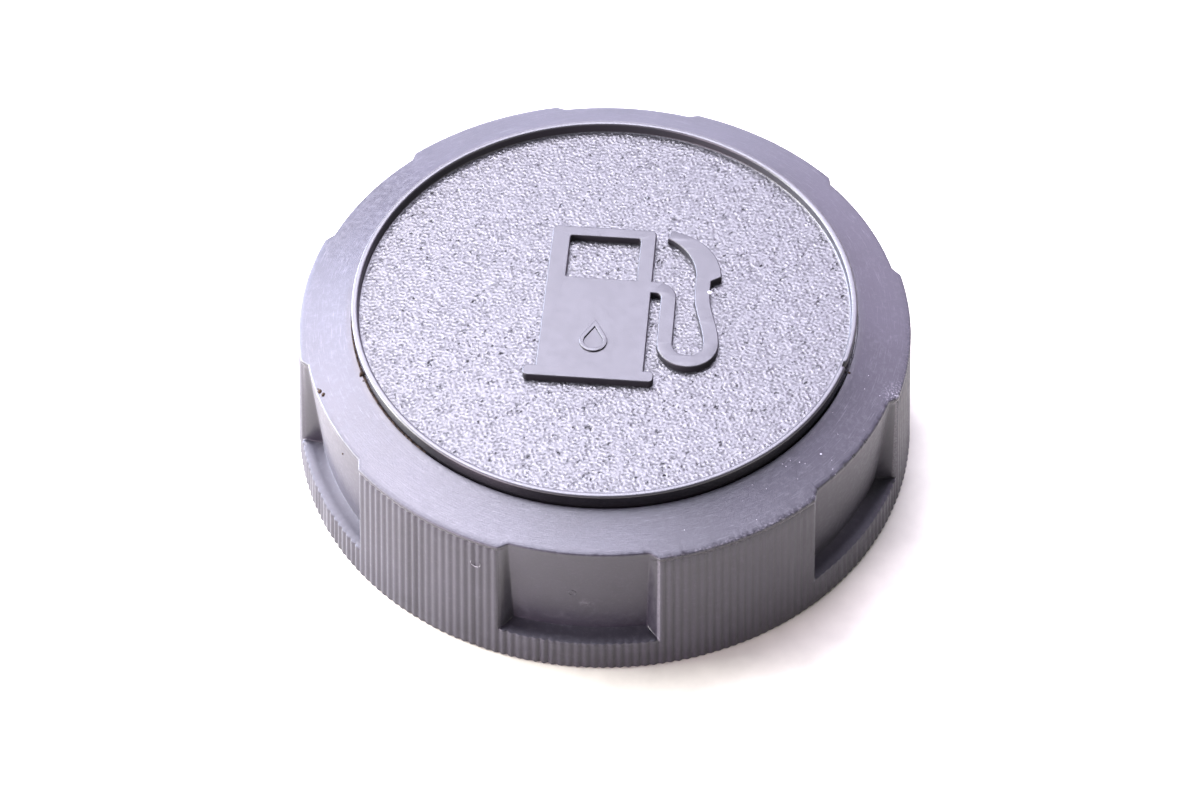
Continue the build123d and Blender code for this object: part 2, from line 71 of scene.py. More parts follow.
# Finishes of the nodes that keep the frame's mesh
FINISHED_NODES = {
    "closure": ("threaded_closure", "valve_housing"),
    "natural": ("retaining_ring", "torque_ring", "valve_seat", "splash_shield", "valve_cover", "filter_cap"),
    "rubber": ("neck_gasket", "housing_o_ring", "valve_seal"),
    "steel": ("wave_washer", "vacuum_clip"),
    "screw": ("housing_screws",),
    "brass": ("pressure_plate", "vacuum_poppet"),
    "foam": ("breather_filter",),
}


def length(name, text, default):
    """A length that a user may change."""
    return FloatProperty(
        name=name, description=text, default=default, subtype="DISTANCE", unit="LENGTH", precision=5
    )


def tilt(name, text, degrees):
    """An angle that a user may change."""
    return FloatProperty(name=name, description=text, default=math.radians(degrees), subtype="ANGLE")


def colour(name, text, default):
    """A finish's base colour."""
    return FloatVectorProperty(name=name, description=text, default=default, subtype="COLOR", min=0, max=1)


def level(name, text, default):
    """A light's brightness."""
    return FloatProperty(name=name, description=text, default=default, min=0)


class GripSettings(PropertyGroup):
    """Sizes of the moulded grip."""

    rim_radius: length("Rim radius", "Outside of the ribs at the rim", grip_high.x)
    shoulder_top: length("Shoulder top", "Height of the shoulder beside the cover", grip_high.z)
    shoulder_drop: length("Shoulder drop", "How far the shoulder slopes down to its edge", 1.7 * MM)
    lip_height: length("Lip height", "Plain band between the ribs and the shoulder", 0.6 * MM)
    draft: tilt("Draft", "Slope of the skirt", 4.4)
    rib_count: IntProperty(name="Ribs", description="Number of grip ribs", default=240, min=12)
    rib_depth: length("Rib depth", "Depth of the grooves between ribs", 0.17 * MM)
    ledge_height: length("Ledge height", "Height of the finger pockets' ledges", 4.5 * MM)
    floor_angle: tilt("Pocket floor", "Angle of a pocket's floor", 25.5)
    land_angle: tilt("Pocket mouth", "Angle of a pocket's mouth", 28.9)
    pocket_depth: length("Pocket depth", "Depth of a pocket at its ledge", 2.6 * MM)
    pocket_depth_top: length("Pocket depth at the top", "Depth of a pocket under the lip", 0.85 * MM)
    edge_round: length("Edge round", "Round on the moulded edges", 0.25 * MM)
    wear: length("Edge wear", "How deep the shoulder's edge is chewed at its worst", 0.08 * MM)


class CoverSettings(PropertyGroup):
    """Sizes of the inlaid cover and its raised symbol."""

    radius: length("Cover radius", "Outside of the cover's bead", cover_high.x)
    bead_width: length("Bead width", "Width of the raised bead", 0.8 * MM)
    bead_height: length("Bead height", "Height of the bead over the grained field", 1.3 * MM)
    bead_round: length("Bead round", "Round on the bead's edges", 0.28 * MM)
    grain_spacing: length("Grain spacing", "Distance between the points of the moulded grain", 0.20 * MM)
    grain_pitch: length("Grain pitch", "Distance from one pebble of the grain to the next", 0.44 * MM)
    grain_height: length("Grain height", "Spread of the grain's height", 0.056 * MM)
    symbol_height: length("Symbol height", "Height of the pump symbol over the field", 0.95 * MM)
    symbol_round: length("Symbol round", "Round on the symbol's top edges", 0.16 * MM)
    drop_height: length("Drop height", "Height of the drop's line over the pump", 0.2 * MM)


class SpringSettings(PropertyGroup):
    """Sizes of the two valve springs."""

    pressure_wire: length("Pressure spring wire", "Wire of the pressure spring", 0.8 * MM)
    pressure_turns: FloatProperty(name="Pressure spring turns", description="Free turns", default=4.0, min=1)
    vacuum_wire: length("Vacuum spring wire", "Wire of the vacuum spring", 0.4 * MM)
    vacuum_turns: FloatProperty(name="Vacuum spring turns", description="Free turns", default=5.5, min=1)


class FinishSettings(PropertyGroup):
    """Base colours of the finishes."""

    grip: colour("Grip plastic", "Dark moulded plastic of the grip", (0.021, 0.019, 0.027))
    cover: colour("Cover plastic", "Dark moulded plastic of the cover", (0.0175, 0.0165, 0.0200))
    closure: colour("Closure plastic", "Black plastic of the closure", (0.030, 0.030, 0.033))
    natural: colour("Natural plastic", "Uncoloured plastic of the inner rings", (0.74, 0.71, 0.63))
    rubber: colour("Rubber", "Seals", (0.022, 0.022, 0.023))
    steel: colour("Spring steel", "Springs, washer and clip", (0.56, 0.56, 0.57))
    screw: colour("Zinc", "Plated screws", (0.62, 0.61, 0.56))
    brass: colour("Brass", "Valve plate and poppet", (0.74, 0.55, 0.25))
    foam: colour("Foam", "Breather filter", (0.10, 0.10, 0.11))
    scuff: colour("Scuff", "Chalky plastic where an edge is rubbed", (0.30, 0.29, 0.32))
    dirt: colour("Dirt", "Dried dirt in the seam", (0.030, 0.019, 0.012))


class StageSettings(PropertyGroup):
    """Light and table."""

    high_left: level("High left panel", "Brightness of the panel above on the left", 16.0)
    overhead: level("Overhead panel", "Brightness of the panel overhead", 13.0)
    high_back: level("High back panel", "Brightness of the panel above at the back", 15.9)
    low_back: level("Low back panel", "Brightness of the low panel at the back", 4.5)
    right_back: level("Right back panel", "Brightness of the panel at the back on the right", 4.8)
    low_left: level("Low left panel", "Brightness of the low panel at the back on the left", 43.0)
    left: level("Left panel", "Brightness of the low panel on the left", 38.6)
    front_left: level("Front left panel", "Brightness of the low panel at the front on the left", 14.0)
    front_right: level("Front right panel", "Brightness of the low panel at the front on the right", 2.0)
    room: level("Room light", "Brightness of the room's white light", 0.3)
    table: colour("Table", "Matte table top", (0.57, 0.55, 0.475))


# Meshes


def polar(radius, angle, height):
    """Points from radii, angles in radians and heights, as rows of x, y and z."""
    radius, angle, height = np.broadcast_arrays(radius, angle, height)
    return np.stack([radius * np.cos(angle), radius * np.sin(angle), height], -1)


def soft_ramp(value, soft):
    """Rises from 0 to 1 as value does, with both corners rounded over a soft width."""

    def bend(x):
        return np.where(x > soft, x, np.clip(x + soft, 0, None) ** 2 / (4 * soft))

    return bend(value) - bend(value - 1)


def ripple(angle, seed, waves):
    """Uneven waviness round the axis, about 0 with a spread of 1."""
    rng = np.random.default_rng(seed)
    phases = rng.uniform(0, FULL_TURN, len(waves))
    strengths = rng.uniform(0.4, 1, len(waves))
    total = sum(s * np.cos(n * angle + p) for s, n, p in zip(strengths, waves, phases))
    return total / math.sqrt((strengths ** 2).sum() / 2)


def near(value, centre, width):
    """1 at a centre, falling away over a width on both sides."""
    return np.exp(-((value - centre) / width) ** 2)


def hump(angle, centre, width):
    """1 at an angle in degrees, falling away over a width on both sides."""
    return near((np.degrees(angle) - centre + 180) % 360 - 180, 0, width)


def rounded(edge, turns):
    """How far in and down a rounded edge lies at angles in degrees round its quarter turn."""
    bends = [math.radians(turn) for turn in turns]
    return [(edge * (1 - math.cos(bend)), edge * (1 - math.sin(bend))) for bend in bends]


def step_down(first, last, depth, height):
    """Radii and heights of a square step down from a height and back up."""
    return (first, height), (first, height - depth), (last, height - depth), (last, height)


def band(low, high, count):
    """Quads between two closed rings of points, from the numbers of their first points."""
    here = np.arange(count)
    after = np.roll(here, -1)
    return np.stack([low + here, low + after, high + after, high + here], 1).tolist()


def closed_turn(rings):
    """Quads between closed rings of equal length, and a fan to the axis at both ends."""
    columns = len(rings[0])
    points = np.concatenate([*rings, [[0, 0, rings[0][0][2]], [0, 0, rings[-1][0][2]]]])
    here = np.arange(columns)
    after = np.roll(here, -1)
    faces = []
    for row in range(len(rings) - 1):
        faces += band(row * columns, (row + 1) * columns, columns)
    last = (len(rings) - 1) * columns
    first_pole, last_pole = len(points) - 2, len(points) - 1
    faces += [(first_pole, after[i], here[i]) for i in here]
    faces += [(last_pole, last + here[i], last + after[i]) for i in here]
    return points, faces


def add_piece(name, points, faces, material, body, slot, node=None, marks=None, sharp=35.0):
    """A new piece on a body, with smooth faces, crisp corners and its attributes of wear, dirt, grain and
    painted shade.
    """
    mesh = bpy.data.meshes.new(name)
    mesh.from_pydata(np.asarray(points).tolist(), [], [tuple(face) for face in faces])
    for key, values in (marks or {}).items():
        mesh.attributes.new(key, "FLOAT", "POINT").data.foreach_set("value", values.astype(np.float32))
    work = bmesh.new()
    work.from_mesh(mesh)
    bmesh.ops.recalc_face_normals(work, faces=work.faces)
    work.to_mesh(mesh)
    work.free()
    mesh.shade_smooth()
    mesh.set_sharp_from_angle(angle=math.radians(sharp))
    mesh.materials.append(material)
    piece = bpy.data.objects.new(name, mesh)
    bpy.context.scene.collection.objects.link(piece)
    even = piece.modifiers.new("Even shading", "WEIGHTED_NORMAL")
    even.keep_sharp = True
    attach(piece, body)
    if node:
        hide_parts(node)
    return piece


def tube(path, radius, sides):
    """A round wire with closed ends along a path of points."""
    path = np.asarray(path)
    along = np.gradient(path, axis=0)
    along /= np.linalg.norm(along, axis=1)[:, None]
    side = np.cross(along, [0, 0, 1])
    side /= np.linalg.norm(side, axis=1)[:, None]
    up = np.cross(side, along)
    turn = np.linspace(0, FULL_TURN, sides, endpoint=False)[None, :, None]
    radius = np.broadcast_to(radius, len(path))[:, None, None]
    points = path[:, None] + radius * (np.cos(turn) * side[:, None] + np.sin(turn) * up[:, None])
    here = np.arange(sides)
    faces = []
    for row in range(len(path) - 1):
        faces += band(row * sides, (row + 1) * sides, sides)
    faces += [here[::-1].tolist(), (here + (len(path) - 1) * sides).tolist()]
    return points.reshape(-1, 3), faces


def lump(size, flatness, rng):
    """A small uneven ball, flattened to a share of its size."""
    work = bmesh.new()
    bmesh.ops.create_icosphere(work, subdivisions=2, radius=size / 2)
    points = np.array([v.co for v in work.verts])
    faces = [[v.index for v in f.verts] for f in work.faces]
    work.free()
    waves = rng.normal(0, 2.2 / size, (5, 3))
    swell = 1 + 0.14 * sum(np.sin(points @ wave + i) for i, wave in enumerate(waves))
    return points * swell[:, None] * (1, 1, flatness), faces


def joined(parts):
    """Several closed shapes as one."""
    points, faces, start = [], [], 0
    for some_points, some_faces in parts:
        points.append(some_points)
        faces += [[start + i for i in face] for face in some_faces]
        start += len(some_points)
    return np.concatenate(points), faces


# Materials

# Cells a metre of the finest relief on the visible plastic
FINE_SKIN = 5200


class Finish:
    """A principled material and short ways to add nodes to it."""

    def __init__(self, name, base, roughness, metallic=0.0):
        self.material = bpy.data.materials.new(name)
        self.material.use_nodes = True
        self.tree = self.material.node_tree
        self.shader = self.tree.nodes["Principled BSDF"]
        self.put((*base, 1), "Base Color")
        self.put(roughness, "Roughness")
        self.put(metallic, "Metallic")
        self.place = self.add("ShaderNodeTexCoord").outputs["Object"]

    def put(self, value, socket):
        """A uniform value on one of the shader's own sockets."""
        self.shader.inputs[socket].default_value = value

    def add(self, kind, links=None, **values):
        """One node, with its sockets linked or set."""
        node = self.tree.nodes.new(kind)
        for key, value in values.items():
            setattr(node, key, value)
        for key, value in (links or {}).items():
            socket = node.inputs[key]
            if isinstance(value, bpy.types.NodeSocket):
                self.tree.links.new(value, socket)
            else:
                socket.default_value = value
        return node

    def noise(self, scale, detail, rough=0.55, place=None):
        """Noise with a number of cells a metre, from 0 to 1."""
        links = {"Vector": place or self.place, "Scale": scale, "Detail": detail, "Roughness": rough}
        return self.add("ShaderNodeTexNoise", links).outputs["Fac"]

    def cells(self, scale):
        """Rounded cells, a number of them a metre."""
        links = {"Vector": self.place, "Scale": scale, "Smoothness": 0.6}
        return self.add("ShaderNodeTexVoronoi", links, feature="SMOOTH_F1").outputs["Distance"]

    def math(self, operation, a, b=0.0, clamp=False):
        """One sum."""
        return self.add("ShaderNodeMath", {0: a, 1: b}, operation=operation, use_clamp=clamp).outputs[0]

    def times(self, a, b, clamp=False):
        """Two values multiplied."""
        return self.math("MULTIPLY", a, b, clamp)

    def span(self, value, low, high, to_low=0.0, to_high=1.0):
        """A value's span turned into another."""
        links = {"Value": value, "From Min": low, "From Max": high, "To Min": to_low, "To Max": to_high}
        return self.add("ShaderNodeMapRange", links).outputs["Result"]

    def spot(self, point, reach):
        """1 at a point in metres, falling to 0 at a distance from it."""
        links = {0: self.place, 1: point}
        away = self.add("ShaderNodeVectorMath", links, operation="DISTANCE").outputs["Value"]
        return self.span(away, 0.0, reach, 1.0, 0.0)

    def mark(self, name):
        """One of the mesh's attributes: wear, dirt, grain heights and painted shade."""
        return self.add("ShaderNodeAttribute", attribute_name=name).outputs["Fac"]

    def blend(self, factor, a, b):
        """A colour between two."""
        a, b = (value if isinstance(value, bpy.types.NodeSocket) else (*value, 1) for value in (a, b))
        return self.add("ShaderNodeMix", {"Factor": factor, 6: a, 7: b}, data_type="RGBA").outputs[2]

    def shades(self, value, base, low, high, first, last):
        """A base colour that changes from one share of itself to another over a value's span."""
        return self.blend(self.span(value, low, high), tinted(base, first), tinted(base, last))

    def link(self, value, socket):
        """A value into the shader."""
        self.tree.links.new(value, self.shader.inputs[socket])

    def bump(self, *layers):
        """Surface relief from (height, depth in metres) layers, one over the other."""
        normal = None
        for height, depth in layers:
            links = {"Height": height, "Distance": depth, "Strength": 1.0}
            if normal is not None:
                links["Normal"] = normal
            normal = self.add("ShaderNodeBump", links).outputs["Normal"]
        self.link(normal, "Normal")


def round_the_axis(finish, around, outwards):
    """Coordinates that run round the axis: streaks in them follow the turning direction."""
    parts = finish.add("ShaderNodeSeparateXYZ", {"Vector": finish.place})
    x, y = parts.outputs["X"], parts.outputs["Y"]
    squares = finish.math("ADD", finish.times(x, x), finish.times(y, y))
    radius = finish.math("SQRT", squares)
    across = finish.times(finish.math("DIVIDE", x, radius), around)
    along = finish.times(finish.math("DIVIDE", y, radius), around)
    out = finish.times(radius, outwards)
    return finish.add("ShaderNodeCombineXYZ", {"X": across, "Y": along, "Z": out}).outputs["Vector"]


def tinted(colours, share):
    """A colour made lighter or darker."""
    return tuple(min(1.0, value * share) for value in colours)


def grip_finish(finishes, shoulder_edge):
    """Satin black moulded plastic with turning scratches on the shoulder, scuffs and dirt, and painted shade
    on the pockets' side walls, in the recess and under the shoulder's edge.
    """
    finish = Finish("Grip plastic", finishes.grip, 0.4)
    scuff = tuple(finishes.scuff)
    cloud = finish.noise(140, 4)
    mottle = finish.noise(1500, 5, 0.7)
    fine = finish.noise(FINE_SKIN, 2)
    streak = finish.noise(1.0, 3, 0.6, round_the_axis(finish, 14, 9000))
    on_top = finish.span(finish.add("ShaderNodeSeparateXYZ", {"Vector": finish.place}).outputs["Z"],
                         shoulder_edge - 0.1 * MM, shoulder_edge + 0.2 * MM)
    worn, dirty, shaded = finish.mark("wear"), finish.mark("dirt"), finish.mark("shade")
    rubbed = finish.times(finish.mark("rubbed"), finish.span(fine, 0.3, 0.6, 0.3, 1.0))
    chalk = finish.times(worn, finish.span(finish.noise(3600, 3), 0.5, 0.66), clamp=True)
    base = finish.shades(cloud, finishes.grip, 0.3, 0.7, 0.88, 1.14)
    base = finish.blend(finish.span(mottle, 0.5, 0.75, 0.0, 0.07), base, scuff)
    scratched = finish.times(finish.span(streak, 0.58, 0.8), on_top)
    base = finish.blend(finish.times(scratched, 0.18), base, scuff)
    smudge = finish.times(finish.spot(SMUDGE, 1.1 * MM), finish.span(mottle, 0.4, 0.65, 0.0, 0.25))
    base = finish.blend(smudge, base, scuff)
    base = finish.blend(finish.math("MAXIMUM", chalk, finish.times(rubbed, 0.5)), base, scuff)
    # Painted shade: where the shade mark is set the colour is darkened to a fifth, and the roughness is
    # lowered below
    base = finish.blend(finish.times(shaded, 0.9), base, tinted(finishes.grip, 0.2))
    base = finish.blend(dirty, base, tuple(finishes.dirt))
    finish.link(base, "Base Color")
    rough = finish.span(mottle, 0.3, 0.7, 0.40, 0.56)
    rough = finish.math("SUBTRACT", rough, finish.times(on_top, 0.08))
    rough = finish.math("SUBTRACT", rough, finish.times(shaded, 0.3), clamp=True)
    finish.link(finish.math("ADD", rough, finish.times(chalk, 0.25), clamp=True), "Roughness")
    pitted = finish.times(mottle, on_top)
    finish.bump((fine, 0.008 * MM), (pitted, 0.022 * MM), (finish.times(streak, on_top), 0.012 * MM))
    return finish.material


def cover_finish(finishes, name, grained):
    """The cover's plastic, grained on the field and smooth on the bead and the symbol; the grain's pits and
    the bead's outer wall get painted shade.
    """
    finish = Finish(name, finishes.cover, 0.36)
    cloud = finish.noise(110, 3)
    fine = finish.noise(FINE_SKIN, 2)
    base = finish.shades(cloud, finishes.cover, 0.3, 0.7, 0.92, 1.1)
    if grained:
        hill, shaded = finish.mark("grain"), finish.mark("shade")
        # Painted shade: the bead's outer wall is darkened to a fifth, and its roughness lowered below
        base = finish.blend(finish.times(shaded, 0.9), base, tinted(finishes.cover, 0.2))
        # Painted shade: the grain's pits are darkened, the deeper the darker
        base = finish.blend(finish.span(hill, -0.9, -0.2, 0.8, 0.0), base, tinted(finishes.cover, 0.2))
        rough = finish.span(hill, -0.9, 0.3, 0.52, 0.32)
        finish.link(finish.math("SUBTRACT", rough, finish.times(shaded, 0.25), clamp=True), "Roughness")
        finish.bump((finish.cells(4200), 0.012 * MM), (fine, 0.004 * MM))
        finish.put(0.62, "Specular IOR Level")
    else:
        finish.link(finish.span(finish.noise(900, 4), 0.3, 0.7, 0.33, 0.44), "Roughness")
        finish.bump((cloud, 0.05 * MM), (fine, 0.005 * MM))
        finish.put(0.44, "Specular IOR Level")
    finish.link(base, "Base Color")
    return finish.material


def plain_plastic(name, base, roughness, soft=0.0):
    """Moulded plastic with faint flow marks."""
    finish = Finish(name, base, roughness)
    finish.put(soft, "Subsurface Weight")
    finish.put(0.6 * MM, "Subsurface Scale")
    cloud = finish.noise(160, 4)
    finish.link(finish.shades(cloud, base, 0.3, 0.7, 0.9, 1.08), "Base Color")
    rough = finish.span(finish.noise(700, 3), 0.25, 0.75, roughness - 0.06, roughness + 0.08)
    finish.link(rough, "Roughness")
    finish.bump((finish.noise(3800, 2), 0.006 * MM))
    return finish.material


def rubber_finish(base):
    """Matte rubber with a fine dusty skin."""
    finish = Finish("Seal rubber", base, 0.68)
    dust = finish.span(finish.noise(900, 5, 0.7), 0.5, 0.8)
    finish.link(finish.blend(finish.times(dust, 0.35), tuple(base), (0.12, 0.115, 0.11)), "Base Color")
    finish.link(finish.span(finish.noise(2200, 3), 0.3, 0.7, 0.58, 0.78), "Roughness")
    finish.bump((finish.noise(5600, 2), 0.012 * MM))
    return finish.material


def metal_finish(name, base, roughness, turned):
    """Metal with drawing or turning lines."""
    finish = Finish(name, base, roughness, metallic=1.0)
    lines = finish.noise(1.0, 3, 0.6, round_the_axis(finish, 6, 14000)) if turned else finish.noise(6000, 3)
    stain = finish.noise(380, 4)
    finish.link(finish.shades(stain, base, 0.45, 0.8, 1.0, 0.72), "Base Color")
    finish.link(finish.span(lines, 0.25, 0.75, roughness - 0.07, roughness + 0.12), "Roughness")
    finish.bump((lines, 0.006 * MM))
    return finish.material


def foam_finish(base):
    """Open-cell foam, its pores painted darker as painted shade."""
    finish = Finish("Filter foam", base, 0.95)
    holes = finish.cells(1600)
    # Painted shade: the pores, where the bump is lowest, are darkened to a quarter and the ridges between
    # them lightened by half
    finish.link(finish.shades(holes, base, 0.1, 0.5, 0.25, 1.5), "Base Color")
    finish.bump((holes, 0.3 * MM))
    return finish.material


def dirt_finish(base):
    """Dried brown dirt."""
    finish = Finish("Dried dirt", base, 0.9)
    finish.put(0.12, "Specular IOR Level")
    patches = finish.noise(2400, 4, 0.7)
    finish.link(finish.blend(patches, tinted(base, 0.45), tinted(base, 1.7)), "Base Color")
    finish.bump((patches, 0.05 * MM))
    return finish.material


# Grip

COLUMNS_PER_RIB = 6
POCKETS = 6
POCKET_PITCH = 360 / POCKETS
FIRST_POCKET = -90

# Ratchet tooth in degrees: its pitch, its locking face and its flat tip
TOOTH_PITCH = 10.0
TOOTH_LOCK = 0.5
TOOTH_TIP = 0.8

# Columns at a pocket's corner in degrees, how far even ones stay away, and the ramp's soft share
CORNER_STEPS = (-0.24, -0.14, -0.05, 0.05, 0.14, 0.24)
CORNER_CLEAR = 0.3
CORNER_SOFT = 0.08

# Rows over the ledge (rise in millimetres, share of the way in), where the rows start under it
# and how far apart they lie on the ribs, and shares up the wall and the cone
LEDGE_STEPS = ((-0.30, 0.0), (-0.08, 0.03), (0.0, 0.12), (0.0, 0.5), (0.0, 0.9), (0.07, 0.98), (0.28, 1.0))
LEDGE_START = 0.45 * MM
LEDGE_ROW = 0.13 * MM
WALL_STEPS = (0.12, 0.28, 0.45, 0.62, 0.78, 0.9, 0.965)
CONE_STEPS = (0.08, 0.22, 0.36, 0.5, 0.64, 0.78, 0.9)
RIM_TURNS = (0, 30, 60, 90)

# Inside of the shell
RECESS_GAP = 0.1 * MM
WEB_THICKNESS = 2.0 * MM
SKIRT_WALL = 4.946 * MM
TEETH_HEIGHT = 4.65 * MM
TOOTH_ROOT = 0.4 * MM
TOOTH_CREST = 1.6 * MM
WELD_RIB_DEPTH = 0.8 * MM

# The retaining ring's groove and the foot's edge: how far out from the inner wall, and how high
SNAP_GROOVE = ((0, 2.1), (0.5, 2.1), (0.5, 0.45), (0, 0.45), (0, 0.15), (0.15, 0))

# Two radii and a depth downwards
WASHER_BOSS = (20.8 * MM, 24.2 * MM, 2.6 * MM)
RING_STOP = (27.6 * MM, 29.6 * MM, 1.55 * MM)
WELD_GROOVE = (24.6 * MM, 23.4 * MM, 0.9 * MM)
WELD_RIB = (24.5 * MM, 23.5 * MM, WELD_RIB_DEPTH)

# Worn and dirty places: angle and spread in degrees
WORN_RIBS = (314, 24)
WORN_SIDE = (318, 34)
WORN_PATCH = (345, 2.2)
DIRTY_SEAM = (208, 17)
WORN_PATCH_RADIUS = 37.0 * MM
WORN_EDGE_RADIUS = 37.5 * MM

# Middle of the smudge in the front pocket, and the radius beyond which a point is on the outside
SMUDGE = (0.83 * MM, -36.5 * MM, 9.6 * MM)
OUTSIDE_RADIUS = 35 * MM


def shoulder(grip):
    """Heights of the shoulder's edge and of the lip's underside, and the wall's radius at the second."""
    land_top = grip.shoulder_top - grip.shoulder_drop
    lip_bottom = land_top - grip.lip_height
    return land_top, lip_bottom, grip.rim_radius - lip_bottom * math.tan(grip.draft)


def grip_angles(grip):
    """Angles of the shell's columns: even ones, and closer ones at the pockets' corners."""
    even = np.arange(grip.rib_count * COLUMNS_PER_RIB) * 360 / (grip.rib_count * COLUMNS_PER_RIB)
    halves = np.degrees([grip.floor_angle / 2, grip.land_angle / 2])
    centres = FIRST_POCKET + POCKET_PITCH * np.arange(POCKETS)
    corners = np.concatenate([centres[:, None] + halves, centres[:, None] - halves]).ravel() % 360
    away = np.abs((even[:, None] - corners[None, :] + 180) % 360 - 180).min(1)
    close = (corners[:, None] + np.array(CORNER_STEPS)).ravel() % 360
    return np.radians(np.sort(np.concatenate([even[away > CORNER_CLEAR], close])))


def pocket_share(grip, angle):
    """1 on a pocket's floor, 0 on the land between pockets, and a ramp on the side walls."""
    offset = (np.degrees(angle) - FIRST_POCKET + POCKET_PITCH / 2) % POCKET_PITCH - POCKET_PITCH / 2
    half_floor, half_land = math.degrees(grip.floor_angle) / 2, math.degrees(grip.land_angle) / 2
    return soft_ramp((half_land - np.abs(offset)) / (half_land - half_floor), CORNER_SOFT)


def tooth_radius(angle, root, crest):
    """Radius of the ratchet teeth: a locking face, then a long ramp."""
    turn = np.degrees(angle) % TOOTH_PITCH
    return np.interp(turn, (0, TOOTH_LOCK, TOOTH_PITCH - TOOTH_TIP, TOOTH_PITCH), (crest, root, crest, crest))


def pocket_floor(grip, height):
    """Radius of a pocket's floor at a height."""
    _, lip_bottom, land_radius = shoulder(grip)
    low = grip.rim_radius - grip.ledge_height * math.tan(grip.draft) - grip.pocket_depth
    high = land_radius - grip.pocket_depth_top
    return low + (height - grip.ledge_height) * (high - low) / (lip_bottom - grip.ledge_height)


def grip_rings(grip, cover, angle):
    """The shell's section from the axis under the web, round the rim, to the axis on top."""
    flare = math.tan(grip.draft)
    land_top, lip_bottom, land_radius = shoulder(grip)
    recess = cover.radius + RECESS_GAP
    web_top = cover_low.z + WELD_RIB_DEPTH
    web_bottom = web_top - WEB_THICKNESS
    cavity = grip.rim_radius - SKIRT_WALL
    teeth_bottom = web_bottom - TEETH_HEIGHT
    pocket = pocket_share(grip, angle)
    rib = (0.5 + 0.5 * np.cos(grip.rib_count * angle)) ** 0.8
    uneven = np.clip(1 + 0.2 * ripple(angle, 7, range(3, 60, 7)), 0.5, 1.4)
    uneven *= 1 - 0.5 * hump(angle, *WORN_RIBS)
    slope = grip.shoulder_drop / (land_radius - recess)

    def ribbed(height):
        wall = grip.rim_radius - height * flare
        return wall - grip.rib_depth * uneven * (1 - rib) * wall / grip.rim_radius

    def side(height):
        return ribbed(height) * (1 - pocket) + pocket_floor(grip, height) * pocket

    rings = []

    def ring(radius, height):
        rings.append(polar(radius, angle, height))

    for radius, height in (*step_down(*WASHER_BOSS, web_bottom), *step_down(*RING_STOP, web_bottom)):
        ring(radius, height)
    teeth = tooth_radius(angle, cavity - TOOTH_ROOT, cavity - TOOTH_CREST)
    ring(teeth, web_bottom)
    ring(teeth, teeth_bottom)
    ring(cavity, teeth_bottom)
    for radius, height in SNAP_GROOVE:
        ring(cavity + radius * MM, height * MM)

    edge = grip.edge_round
    for up, inwards in rounded(edge, RIM_TURNS):
        ring(ribbed(0) - inwards, up)
    for share in (0.45, 0.85):
        ring(ribbed(share * grip.ledge_height), share * grip.ledge_height)

    lowest = grip.ledge_height - LEDGE_START
    for index, (rise, share) in enumerate(LEDGE_STEPS):
        plain = lowest + LEDGE_ROW * index
        height = plain + (grip.ledge_height + rise * MM - plain) * np.clip(3 * pocket, 0, 1)
        ring(ribbed(height) + (side(height) - ribbed(height)) * share, height)
    for share in WALL_STEPS:
        height = grip.ledge_height + (lip_bottom - grip.ledge_height) * share
        ring(side(height), height)
    ring(side(lip_bottom) - 0.1 * MM * (1 - pocket), lip_bottom - 0.12 * MM)
    ring(side(lip_bottom), lip_bottom + 0.03 * MM)

    worn = 0.1 + hump(angle, *WORN_SIDE)
    coarse = ripple(angle, 5, range(40, 190, 9))
    chewed = grip.wear * worn * np.clip(0.55 * coarse + 0.6 * ripple(angle, 6, range(200, 700, 17)), 0, 2.2)
    mouth = land_radius + (pocket_floor(grip, land_top) - land_radius) * pocket
    mouth_top = land_top + (land_radius - mouth) * slope
    lean = math.pi / 2 - math.atan(slope)
    drop = edge * math.tan(lean / 2)
    ring(mouth - 0.15 * chewed, (lip_bottom + mouth_top) / 2)
    for share in (0, 0.25, 0.5, 0.75, 1):
        turn = lean * share
        sink = chewed * (0.4 + 0.6 * math.sin(math.pi * share))
        outside = mouth - edge + edge * math.cos(turn) - sink
        ring(outside, mouth_top - drop + edge * math.sin(turn) - 0.6 * sink)
    start = mouth - edge + edge * math.cos(lean)
    for share in CONE_STEPS:
        radius = start + (recess + 0.3 * MM - start) * share
        fade = 0.35 * chewed * max(0, 1 - 6 * share)
        dish = 0.05 * MM * math.sin(math.pi * share)
        ring(radius, land_top + (land_radius - radius) * slope - fade - dish)
    for inwards, down in ((0.22, 0.0), (0.08, 0.03), (0.0, 0.12)):
        ring(recess + inwards * MM, grip.shoulder_top - slope * inwards * MM - down * MM)
    for radius, height in ((recess, web_top), *step_down(*WELD_GROOVE, web_top)):
        ring(radius, height)
    return rings


